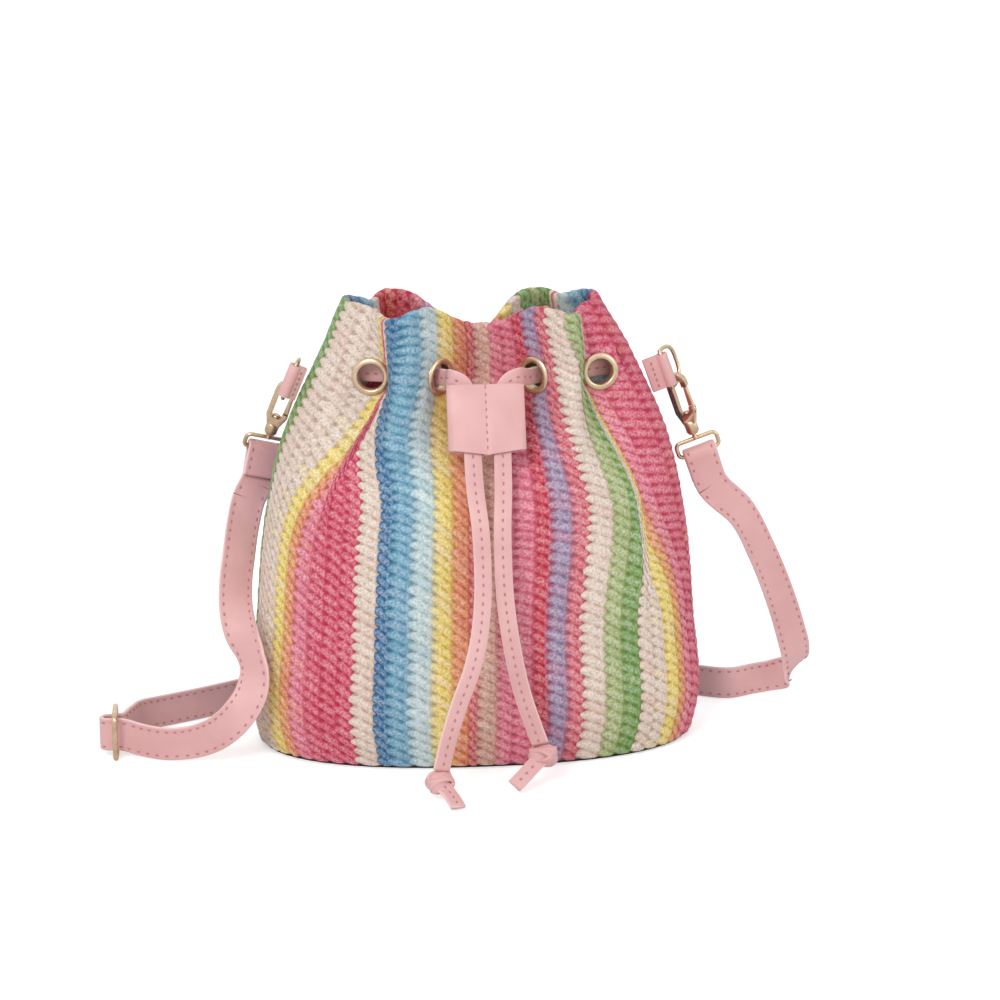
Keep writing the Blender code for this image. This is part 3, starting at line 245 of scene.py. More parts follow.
def at_lengths(line, wanted):
    """Stations of a line at the wanted distances along it."""
    lengths = run_lengths(line)
    return np.stack([np.interp(wanted, lengths, line[:, k]) for k in range(line.shape[1])], axis=1)


def even_line(stations, step):
    """Smooth line with evenly spaced stations."""
    line = smooth_line(stations, FINE_STEPS)
    total = run_lengths(line)[-1]
    return at_lengths(line, np.linspace(0.0, total, max(int(total / step), 3) + 1))


def strip_frames(line, closed=False):
    """Directions along, across and out of a flat strip at each station."""
    spots = line[:, :3]
    if closed:
        along = np.roll(spots, -1, axis=0) - np.roll(spots, 1, axis=0)
    else:
        along = np.gradient(spots, axis=0)
    along /= np.linalg.norm(along, axis=1, keepdims=True)
    across = line[:, 3:] - np.sum(line[:, 3:] * along, axis=1, keepdims=True) * along
    across /= np.linalg.norm(across, axis=1, keepdims=True)
    return along, across, np.cross(along, across)


SEAM_DIP = 0.13 * MM
SEAM_HALF_WIDTH = 0.8 * MM
SEAM_MARGINS = (0.7, 0.4)
EDGE_ROUNDING = 0.8
EDGE_ANGLES = (180, 150, 120, 100)
RAW_EDGE = 0.25
RAW_FADE = 0.2


def strip_section(width, thickness, seams):
    """Outline of a leather strip: rounded edges, and a dip on both faces at each seam."""
    w = width / 2
    t = thickness / 2
    edge = t * EDGE_ROUNDING
    top = []
    for angle in EDGE_ANGLES:
        a = math.radians(angle)
        top.append((-w + edge + edge * math.cos(a), t * math.sin(a)))
    for seam in seams:
        top += [(seam - SEAM_HALF_WIDTH, t), (seam, t - SEAM_DIP), (seam + SEAM_HALF_WIDTH, t)]
    top += [(-x, y) for x, y in reversed(top[:len(EDGE_ANGLES)])]
    return np.array(top + [(x, -y) for x, y in reversed(top[1:-1])])


def strip_points(line, section, across, out):
    """Points of a section carried along a line of stations."""
    points = (line[:, None, :3] + section[None, :, :1] * across[:, None, :]
              + section[None, :, 1:] * out[:, None, :])
    return list(points.reshape(-1, 3))


def band_faces(rows, count, closed=False):
    """Four-sided faces between rows of points, where each row is a closed loop."""
    faces = []
    for i in range(rows if closed else rows - 1):
        a = i * count
        b = (i + 1) % rows * count
        faces += [(a + k, b + k, b + (k + 1) % count, a + (k + 1) % count) for k in range(count)]
    return faces


DOME_RINGS = ((1.0, -0.35), (0.92, 0.45), (0.6, 0.9))
DOME_SIDES = 8


def stitch_dome(centre, along, across, out):
    """One stitch: a low dome of thread, long in the direction of the seam."""
    vertices = []
    for share, height in DOME_RINGS:
        for k in range(DOME_SIDES):
            angle = math.radians(360 * k / DOME_SIDES)
            vertices.append(centre + along * (math.cos(angle) * share * STITCH_LENGTH / 2)
                            + across * (math.sin(angle) * share * STITCH_WIDTH / 2)
                            + out * (height * STITCH_HEIGHT))
    vertices.append(centre + out * STITCH_HEIGHT)
    faces = [(a, d, c, b) for a, b, c, d in band_faces(len(DOME_RINGS), DOME_SIDES)]
    top = len(vertices) - 1
    last = top - DOME_SIDES
    faces += [(last + k, last + (k + 1) % DOME_SIDES, top) for k in range(DOME_SIDES)]
    return vertices, faces


def leather_piece(name, body_parts, stitch_parts, edge_values):
    """Object of leather faces and thread faces, smooth, with the leather's raw edges marked."""
    vertices = []
    faces = []
    kinds = []
    for kind, parts in ((0, body_parts), (1, stitch_parts)):
        for part_vertices, part_faces in parts:
            first = len(vertices)
            vertices += [tuple(v) for v in part_vertices]
            faces += [tuple(first + i for i in face) for face in part_faces]
            kinds += [kind] * len(part_faces)
    mesh = bpy.data.meshes.new(name)
    mesh.from_pydata(vertices, [], faces)
    mesh.materials.append(leather)
    mesh.materials.append(thread)
    mesh.polygons.foreach_set("material_index", kinds)
    mesh.polygons.foreach_set("use_smooth", [True] * len(faces))
    worn_edge = mesh.attributes.new("raw_edge", "FLOAT", "POINT")
    values = list(edge_values) + [0.0] * (len(vertices) - len(edge_values))
    worn_edge.data.foreach_set("value", values)
    mesh.update()
    item = put_in(name, mesh)
    return item


def leather_strip(name, line, width, thickness, seams, pitch, ends=(True, True)):
    """Flat strip along a line of stations, sewn along its seams on both faces."""
    along, across, out = strip_frames(line)
    section = strip_section(width, thickness, seams)
    count = len(section)
    rows = len(line)
    vertices = strip_points(line, section, across, out)
    faces = band_faces(rows, count)
    if ends[0]:
        faces.append(tuple(range(count)))
    if ends[1]:
        faces.append(tuple(range(rows * count - 1, (rows - 1) * count - 1, -1)))
    past_face = np.abs(section[:, 0]) - (width / 2 - thickness * RAW_EDGE)
    at_edge = np.clip(past_face / (thickness * RAW_FADE), 0, 1)
    stitches = []
    lengths = run_lengths(line)
    for at in np.arange(pitch * SEAM_MARGINS[0], lengths[-1] - pitch * SEAM_MARGINS[1], pitch):
        i = int(np.clip(np.searchsorted(lengths, at), 1, rows - 1))
        t = (at - lengths[i - 1]) / (lengths[i] - lengths[i - 1])
        centre = line[i - 1, :3] * (1 - t) + line[i, :3] * t
        for seam in seams:
            for face in (1, -1):
                where = centre + across[i] * seam + out[i] * face * (thickness / 2 - STITCH_SINK)
                stitches.append(stitch_dome(where, along[i], across[i] * face, out[i] * face))
    return leather_piece(name, [(vertices, faces)], stitches, np.tile(at_edge, rows))


slide_down = Vector((0.0, -math.sin(SLIDE_SLOPE), -math.cos(SLIDE_SLOPE)))
slide_across = Vector((1.0, 0.0, 0.0))
slide_out = slide_across.cross(-slide_down)

LACE_ENDS = {
    "left": {
        "side": -1,
        "route": [(-5.4, -56.5, 126.5), (-3.9, -62.5, 112.0), (-3.5, -67.0, 99.0),
                  (-4.0, -72.5, 83.0), (-6.0, -77.0, 68.0), (-9.5, -80.5, 55.0),
                  (-14.6, -82.6, 42.0), (-19.4, -83.8, 27.0), (-22.8, -84.0, 12.5)],
        "twist": 0.3,
        "knot": Vector((-23.5, -84.0, 7.6)) * MM,
        "knot_turn": (25.0, 8.0, 20.0),
        "tail": [(-23.0, -86.0, 7.0), (-21.1, -88.8, 5.4), (-18.9, -94.6, 3.8),
                 (-17.2, -100.6, 2.2)],
        "length": 0.139,
    },
    "right": {
        "side": 1,
        "route": [(6.4, -56.5, 126.5), (5.5, -62.0, 112.0), (5.3, -66.0, 99.0),
                  (5.9, -69.2, 83.0), (7.6, -71.2, 68.0), (10.0, -72.2, 54.0),
                  (12.8, -72.5, 42.0), (16.6, -72.5, 30.0), (20.6, -72.2, 18.6)],
        "twist": -0.3,
        "knot": Vector((22.0, -72.0, 13.6)) * MM,
        "knot_turn": (15.0, -10.0, -35.0),
        "tail": [(21.4, -73.6, 12.6), (18.2, -75.8, 10.9), (13.4, -79.4, 7.4), (8.4, -83.2, 4.0)],
        "length": 0.130,
    },
}
KNOT_HALF_SIZES = (5.0 * MM, 4.1 * MM, 3.6 * MM)
KNOT_WRAPS = ((0.0, 0.0, 0.0), (62.0, 10.0, 25.0), (-58.0, 0.0, -20.0))
WRAP_WIDTH = LACE_WIDTH * 0.86
WRAP_THICKNESS = 1.5 * MM
WRAP_STEPS = 40
WRAP_WOBBLE = 0.07
WRAP_SPACING = 0.5 * MM
WRAP_TILT = 0.12


def lace_knot(name, centre, turn):
    """Knot of the lace itself: three wraps of it drawn tight over each other."""
    def turned(axis, degrees):
        return Matrix.Rotation(math.radians(degrees), 3, axis)

    bands = []
    edges = []
    section = strip_section(WRAP_WIDTH, WRAP_THICKNESS, [0.0])
    rest = turned("Z", turn[2]) @ turned("X", turn[0])
    for number, (pitch, roll, yaw) in enumerate(KNOT_WRAPS):
        lean = rest @ turned("Z", yaw) @ turned("X", pitch) @ turned("Y", roll)
        line = []
        for k in range(WRAP_STEPS):
            angle = math.tau * k / WRAP_STEPS
            wobble = 1.0 + WRAP_WOBBLE * math.sin(2 * angle + number)
            x = KNOT_HALF_SIZES[0] * math.cos(angle) * wobble
            z = KNOT_HALF_SIZES[2] * math.sin(angle) * wobble
            point = centre + lean @ Vector((x, (number - 1) * WRAP_SPACING, z))
            width = lean @ Vector((WRAP_TILT * math.sin(angle), 1.0, 0.0))
            line.append((*point, *width))
        line = np.array(line)
        _, across, out = strip_frames(line, closed=True)
        points = strip_points(line, section, across, out)
        bands.append((points, band_faces(WRAP_STEPS, len(section), closed=True)))
        edges += [0.0] * len(points)
    return leather_piece(name, bands, [], edges)


for side, lace in LACE_ENDS.items():
    start = SLIDE_CENTRE + slide_down * SLIDE_LENGTH / 2 + slide_across * lace["side"] * LACE_SPREAD
    stations = [(*start, *slide_across)]
    for i, spot in enumerate(lace["route"]):
        stations.append((*(Vector(spot) * MM), 1.0, lace["twist"] * i / len(lace["route"]), 0.0))
    line = even_line(stations, LACE_STEP)
    lace_end = leather_strip("lace_end_" + side, line, LACE_WIDTH, LACE_THICKNESS, [0.0],
                             LACE_STITCH_PITCH)
    knot = lace_knot("lace_knot_" + side, lace["knot"], lace["knot_turn"])
    lean = 0.15 * lace["side"]
    tail_stations = [(*(Vector(p) * MM), 0.9, 2 * lean, lean) for p in lace["tail"]]
    tail = leather_strip("lace_tail_" + side, even_line(tail_stations, LACE_STEP),
                         LACE_WIDTH * 0.9, LACE_THICKNESS, [0.0], LACE_STITCH_PITCH)
    for piece in (lace_end, knot, tail):
        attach(piece, "bag")
    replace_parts(lace_end, "drawstring_end_" + side)
    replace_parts(knot, "knot_" + side)
    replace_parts(tail, "drawstring_tail_" + side)


# ---- Straw wall -----------------------------------------------------------------------
# One cloth of coloured straw yarn in upright chains of slanting stitches, sewn into a tube.
# It stands on the board, and its top is turned in over the rim and gathered by the lace.

SECTION_HEIGHTS = np.array((0.0, 12.0, 58.0, 105.0, 140.0, 170.0, 198.0)) * MM
SECTION_HALF_WIDTHS = np.array((94.6, 97.8, 95.5, 90.6, 82.3, 68.8, 54.6)) * MM
SECTION_HALF_DEPTHS = np.array((47.0, 52.0, 55.0, 52.0, 47.0, 42.0, 42.0)) * MM
OUTLINE_POWER = 2.3
WALL_BOTTOM = 2.5 * MM
RIM_HEIGHT = 198.0 * MM
EYELET_HEIGHT = 170.0 * MM
GATHER_START = 112.0 * MM
NECK_SHIFT = 3.0 * MM
RIM_LEAN = 1.8 * MM
LEAN_START = 176.0 * MM
NOTCH_DEPTH = 34.0 * MM
FOLD_X = 36.0 * MM
FLANK_X = 20.0 * MM
FLAT_DEPTH = 21.0 * MM
FLAT_X = 43.0 * MM
SIDE_RADIUS = 12.0 * MM
BOTTOM_SLOPE = 1.6
OUTLINE_STEPS = 10
# How far the rim lies over its height, and how much lower it is in the notches, between
# them, and at the back
RIM_LIFT = 1.5 * MM
NOTCH_DROP = 12.0 * MM
FLAT_DROP = 4.0 * MM
BACK_DROP = 6.0 * MM
EYELET_SHARES = {
    "front_left": 0.826, "front_centre_left": 0.934, "front_centre_right": 0.066,
    "front_right": 0.174, "back_right": 0.326, "back_centre_right": 0.434,
    "back_centre_left": 0.566, "back_left": 0.674,
}


def ease(t):
    """Smooth step from 0 to 1, also for arrays."""
    t = np.clip(t, 0.0, 1.0)
    return t * t * (3.0 - 2.0 * t)


def section_value(values, z):
    """Value at height z on a smooth line through the sections."""
    slopes = np.gradient(values, SECTION_HEIGHTS)
    slopes[0] = (values[1] - values[0]) / (SECTION_HEIGHTS[1] - SECTION_HEIGHTS[0]) * BOTTOM_SLOPE
    z = min(max(z, 0.0), SECTION_HEIGHTS[-1] + 4 * MM)
    i = int(np.clip(np.searchsorted(SECTION_HEIGHTS, z) - 1, 0, len(SECTION_HEIGHTS) - 2))
    h = SECTION_HEIGHTS[i + 1] - SECTION_HEIGHTS[i]
    t = (z - SECTION_HEIGHTS[i]) / h
    return between(t, h, values[i], values[i + 1], slopes[i], slopes[i + 1])


def belly_outline(z):
    """Rounded outline in plan at height z, from the front centre round to the right."""
    angles = np.radians(np.arange(360) - 90.0)
    return np.column_stack([
        section_value(halves, z) * np.sign(wave) * np.abs(wave) ** (2 / OUTLINE_POWER)
        for halves, wave in ((SECTION_HALF_WIDTHS, np.cos(angles)),
                             (SECTION_HALF_DEPTHS, np.sin(angles)))])


def smooth_loop(points, steps):
    """Smooth closed line through points."""
    pts = np.array(points)
    line = []
    for i in range(len(pts)):
        p0, p1, p2, p3 = (pts[(i + k) % len(pts)] for k in (-1, 0, 1, 2))
        for k in range(steps):
            t = k / steps
            line.append(0.5 * (2 * p1 + (p2 - p0) * t + (2 * p0 - 5 * p1 + 4 * p2 - p3) * t ** 2
                               + (3 * p1 - p0 - 3 * p2 + p3) * t ** 3))
    return np.array(line)


def neck_outline(z):
    """Gathered outline in plan: a notch, a fold, a flat and a side, the same on the back."""
    side = section_value(SECTION_HALF_WIDTHS, z)
    front = section_value(SECTION_HALF_DEPTHS, EYELET_HEIGHT)
    quarter = [
        (0.0, -(front - NOTCH_DEPTH)),
        (FLANK_X, -(front - NOTCH_DEPTH * (1 - FLANK_X / FOLD_X)) + 1 * MM),
        (FOLD_X, -front),
        (FLAT_X, -(front - FLAT_DEPTH * 0.8)),
        (side - SIDE_RADIUS, -(front - FLAT_DEPTH)),
        (side - SIDE_RADIUS / 4, -SIDE_RADIUS),
        (side, 0.0),
    ]
    half = quarter + [(x, -y) for x, y in reversed(quarter[:-1])]
    loop = half + [(-x, y) for x, y in reversed(half[1:-1])]
    lean = RIM_LEAN * float(ease((z - LEAN_START) / (RIM_HEIGHT - LEAN_START)))
    loop = [(x + NECK_SHIFT * (1 - abs(x) / side) - lean, y) for x, y in loop]
    return smooth_loop(loop, OUTLINE_STEPS)


def at_shares(outline, shares):
    """Points at shares of a closed line's length."""
    line = np.vstack([outline, outline[:1]])
    steps = np.linalg.norm(np.diff(line, axis=0), axis=1)
    lengths = np.concatenate([[0.0], np.cumsum(steps)]) / steps.sum()
    return np.column_stack([np.interp(np.mod(shares, 1.0), lengths, line[:, k]) for k in (0, 1)])


def wall_row(shares, z):
    """Points of the wall's middle surface at one height."""
    w = float(ease((z - GATHER_START) / (EYELET_HEIGHT - GATHER_START)))
    plan = at_shares(belly_outline(z), shares) * (1 - w)
    if w > 0.0:
        plan = plan + at_shares(neck_outline(z), shares) * w
    return np.column_stack([plan, np.full(len(plan), z)])


def rim_height(share):
    """Height of the rim round the bag: lower in the notches and towards the back."""
    turn = np.abs((share * 2.0) % 1.0 - 0.5) * 2.0
    notch = ease((turn - 0.62) / 0.38)
    flat = np.exp(-((turn - 0.36) / 0.16) ** 2)
    back = ease((0.5 - np.abs(share % 1.0 - 0.5)) / 0.5 * 1.4 - 0.4)
    return RIM_HEIGHT + RIM_LIFT - NOTCH_DROP * notch - FLAT_DROP * flat - BACK_DROP * back


def wall_normal(share, z):
    """Outward direction of the middle surface."""
    ends = wall_row(np.array([share - 0.004, share + 0.004]), z)
    low = wall_row(np.array([share]), z - MM)[0]
    high = wall_row(np.array([share]), z + MM)[0]
    return Vector(ends[1] - ends[0]).cross(Vector(high - low)).normalized()


eyelet_places = {}
for name, share in EYELET_SHARES.items():
    middle = Vector(wall_row(np.array([share]), EYELET_HEIGHT)[0])
    eyelet_places[name] = (middle, wall_normal(share, EYELET_HEIGHT))

SHARE_STEPS = 864
LEVEL_STEP = 2.0 * MM
LEVELS = 104
PRESSED_RADIUS = 9.2 * MM
PRESSED_FADE = 4.0 * MM
PRESSED_DEPTH = 4.5 * MM
EYELET_REACH = 2.2 * PRESSED_DEPTH


def from_eyelet(points, middle, normal):
    """Height over an eyelet's plane, and distance from its axis."""
    away = points - np.array(middle)
    over = away @ np.array(normal)
    return over, np.linalg.norm(away - over[..., None] * np.array(normal), axis=-1)


def round_eyelets(points):
    """Distance from the axis of the nearest eyelet."""
    best = np.full(points.shape[:-1], 1.0)
    for middle, normal in eyelet_places.values():
        over, radial = from_eyelet(points, middle, normal)
        best = np.where((radial < best) & (np.abs(over) < EYELET_REACH), radial, best)
    return best


shares = np.arange(SHARE_STEPS) / SHARE_STEPS
surface = np.stack([wall_row(shares, k * LEVEL_STEP) for k in range(LEVELS)])
for middle, normal in eyelet_places.values():
    over, radial = from_eyelet(surface, middle, normal)
    near = 1 - np.clip((radial - PRESSED_RADIUS) / PRESSED_FADE, 0, 1)
    shallow = 1 - np.clip((np.abs(over) - PRESSED_DEPTH) / PRESSED_FADE, 0, 1)
    surface -= (ease(near * shallow) * over)[..., None] * np.array(normal)
facing = np.cross(np.roll(surface, -1, axis=1) - np.roll(surface, 1, axis=1),
                  np.gradient(surface, axis=0))
facing /= np.linalg.norm(facing, axis=2, keepdims=True)


def blend_table(table, j, fy, i, fx, n):
    """Value between four neighbours of a table: rows j and j + 1, columns i and n."""
    low = table[j, i] * (1 - fx) + table[j, n] * fx
    high = table[j + 1, i] * (1 - fx) + table[j + 1, n] * fx
    return low * (1 - fy) + high * fy


def on_wall(share, z, out):
    """Points off the wall's middle surface, for arrays of shares, heights and offsets."""
    across = np.mod(share, 1.0) * SHARE_STEPS
    i = np.floor(across).astype(int)
    fx = (across - i)[..., None]
    level = np.clip(z / LEVEL_STEP, 0, LEVELS - 1.001)
    j = np.floor(level).astype(int)
    fy = (level - j)[..., None]
    where = (j, fy, i % SHARE_STEPS, fx, (i + 1) % SHARE_STEPS)
    return blend_table(surface, *where) + blend_table(facing, *where) * out[..., None]


# Where the cloth's columns come at the neck, in half columns: some vanish into the folds
HALF_COLUMN = 4.485 * MM
HALF_COLUMNS = 108
NECK_PLACES = np.array([0, 15.7, 16.6, 27, 36.8, 38, 54, 70, 71, 81, 91.2, 92.1, 108])
NECK_COLUMNS = np.array([0, 13.3, 20.6, 27, 34.5, 40.4, 54, 67, 73, 81, 87.1, 97.3, 108])
neck_places, neck_columns = (
    np.concatenate([row[:-1] - HALF_COLUMNS, row, row[1:] + HALF_COLUMNS])
    for row in (NECK_PLACES, NECK_COLUMNS))
GATHER_STEPS = 40
GRID_STEP = 0.1
column_grid = np.arange(-6.0, 114.0, GRID_STEP)
dense_places = np.arange(-12.0, 120.0, GRID_STEP / 2)
dense_columns = np.interp(dense_places, neck_places, neck_columns)
column_places = np.stack([
    np.interp(column_grid, dense_places * (1 - w) + dense_columns * w, dense_places)
    for w in np.linspace(0.0, 1.0, GATHER_STEPS + 1)])


def place_of(column, w):
    """Share of the way round at which a column of the cloth lies, at a gathering of w."""
    x = np.clip((column - column_grid[0]) / GRID_STEP, 0, len(column_grid) - 1.001)
    y = np.clip(w * GATHER_STEPS, 0, GATHER_STEPS - 0.001)
    i = x.astype(int)
    j = y.astype(int)
    return blend_table(column_places, j, y - j, i, x - i, i + 1) / HALF_COLUMNS


CREAM = srgb(0.89, 0.81, 0.745)
TAN = srgb(0.855, 0.67, 0.59)
YELLOW = srgb(0.93, 0.83, 0.40)
ORANGE = srgb(0.89, 0.55, 0.36)
ROSE = srgb(0.825, 0.365, 0.42)
PINK = srgb(0.88, 0.44, 0.54)
MAGENTA = srgb(0.83, 0.25, 0.385)
CRIMSON = srgb(0.80, 0.16, 0.29)
RED = srgb(0.80, 0.25, 0.27)
LAVENDER = srgb(0.60, 0.51, 0.65)
SAGE = srgb(0.665, 0.715, 0.47)
GREEN = srgb(0.44, 0.61, 0.28)
DEEP_BLUE = srgb(0.15, 0.42, 0.61)
SKY = srgb(0.41, 0.65, 0.76)
AQUA = srgb(0.76, 0.845, 0.85)

# Each column from the front centre round to the right: dye, fleck, width in millimetres
COLUMNS = [
    (TAN, CREAM, 8.1), (PINK, TAN, 6.5), (PINK, MAGENTA, 8.7), (CRIMSON, ROSE, 6.1),
    (LAVENDER, PINK, 8.4), (ROSE, PINK, 6.8), (CREAM, TAN, 10.2), (SAGE, GREEN, 7.7),
    (GREEN, SAGE, 8.7), (CREAM, TAN, 6.9), (CREAM, YELLOW, 6.9), (YELLOW, CREAM, 7.0),
    (ORANGE, YELLOW, 4.6), (PINK, ORANGE, 5.4), (MAGENTA, PINK, 9.6), (MAGENTA, ORANGE, 9.6),
    (MAGENTA, PINK, 9.8),
    (DEEP_BLUE, SKY, 6.0), (SKY, AQUA, 9.0), (AQUA, SKY, 9.0), (CREAM, TAN, 9.0),
    (MAGENTA, PINK, 8.0), (CRIMSON, CREAM, 8.0), (CREAM, GREEN, 8.0), (GREEN, CREAM, 9.0),
    (SAGE, GREEN, 8.0), (GREEN, SAGE, 9.0), (CREAM, GREEN, 8.0), (YELLOW, CREAM, 8.0),
    (ORANGE, YELLOW, 8.0),
    (ROSE, ORANGE, 7.0), (PINK, MAGENTA, 9.0), (CREAM, TAN, 9.0), (LAVENDER, PINK, 8.0),
    (ROSE, PINK, 8.0), (CRIMSON, RED, 8.0), (RED, ORANGE, 9.0), (RED, CRIMSON, 8.0),
    (MAGENTA, PINK, 9.0), (TAN, CREAM, 8.0), (CREAM, TAN, 9.0), (AQUA, CREAM, 8.0),
    (SKY, AQUA, 9.0), (DEEP_BLUE, SKY, 8.0), (LAVENDER, SKY, 8.0), (GREEN, SAGE, 9.0),
    (CREAM, TAN, 7.9),
    (CREAM, TAN, 6.2), (CREAM, YELLOW, 6.2), (YELLOW, CREAM, 6.2), (ORANGE, YELLOW, 4.8),
    (PINK, ORANGE, 8.0), (MAGENTA, PINK, 7.4), (MAGENTA, CRIMSON, 7.0), (MAGENTA, PINK, 6.7),
    (CREAM, TAN, 9.2), (DEEP_BLUE, SKY, 5.2), (SKY, DEEP_BLUE, 9.4), (AQUA, SKY, 9.4),
    (YELLOW, CREAM, 8.1), (ORANGE, RED, 7.2), (ROSE, ORANGE, 3.5),
]
BACK_COLUMNS = range(17, 47)
FIRST_COLUMN = -0.94
STITCH_ROWS = 40
ROWS_PER_STITCH = 7
ACROSS_STEPS = 9
STITCH_SLANT = 1.0
BASE_OUT = 1.1 * MM
RELIEF = 1.15 * MM
PRESSED_RELIEF = 0.35 * MM
LOBE_REACH = 0.17
TUCK_REACH = 0.13
UPPER_STRETCH = 0.17
SOFT_EDGE = 0.3
BLEED = 0.42
RIDGE_POWER = 2.6
LOBE_POWER = 0.6
LOBE_FADE = 0.45
LOBE_SIZES = (0.7, 0.5)
LEFT_DIP, LEFT_ROLL = 0.24, 0.25
RIGHT_DIP, RIGHT_ROLL = 0.72, 0.28
TUCK_WIDTH = 0.3
COLUMN_WAVE = 0.12
ROW_WAVE = 0.10
LOW_STITCH = 0.20
GAP_PLACES = (0.0, 0.18, 0.36, 0.48, 0.66, 0.80, 1.0)
GAP_DEPTHS = (1.0, 0.85, 0.30, 0.62, 0.80, 0.28, 0.7)
LIP_STEPS = 6
LIP_LENGTH = 4.0 * MM
HEM_DEPTH = 66.0 * MM
HEM_ROWS = 34
HOLE_RADIUS = 6.45 * MM
# Where the folds begin to swallow the cloth, and over what height: right, left, inner left
SWALLOWED = ((58 * MM, 62 * MM), (92 * MM, 62 * MM), (113 * MM, 44 * MM))
INNER_LEFT = 87.0
INNER_FADE = 8.0


def hidden(column, z):
    """How far the folds have swallowed the cloth: lower down on the right than on the left."""
    right, left, inner_left = (ease((z - start) / height) for start, height in SWALLOWED)
    left = left + (inner_left - left) * ease((column - INNER_LEFT) / INNER_FADE)
    return np.where((column > 0) & (column < HALF_COLUMNS / 2), right, left)


def scatter(stitch, column):
    """Fixed number from 0 to 1 for each stitch of a column, without any order to the eye."""
    return np.mod(np.sin(stitch * 12.9898 + column * 78.233) * 43758.5, 1.0)


def slanted(u, v):
    """Number of the strand at u across a column and v stitches up: level at first, then falling."""
    return v + STITCH_SLANT * u ** 1.35


def weave_height(u, v):
    """Height of a column's surface, 0 to 1, u across it and v stitches up, and its ridges."""
    f = np.mod(slanted(u, v), 1.0)
    ridge = 1 - np.abs(2 * f - 1) ** RIDGE_POWER
    open_gap = np.interp(u, GAP_PLACES, GAP_DEPTHS)
    strand = 1 - open_gap * (1 - ridge)
    left = 1 - LEFT_DIP + LEFT_DIP * ease(u / LEFT_ROLL)
    right = 1 - RIGHT_DIP * ease((u - 1 + RIGHT_ROLL) / RIGHT_ROLL)
    lobe = np.sin(math.pi * f) ** LOBE_POWER
    return np.clip(strand * (left * right), 0.0, 1.0), lobe


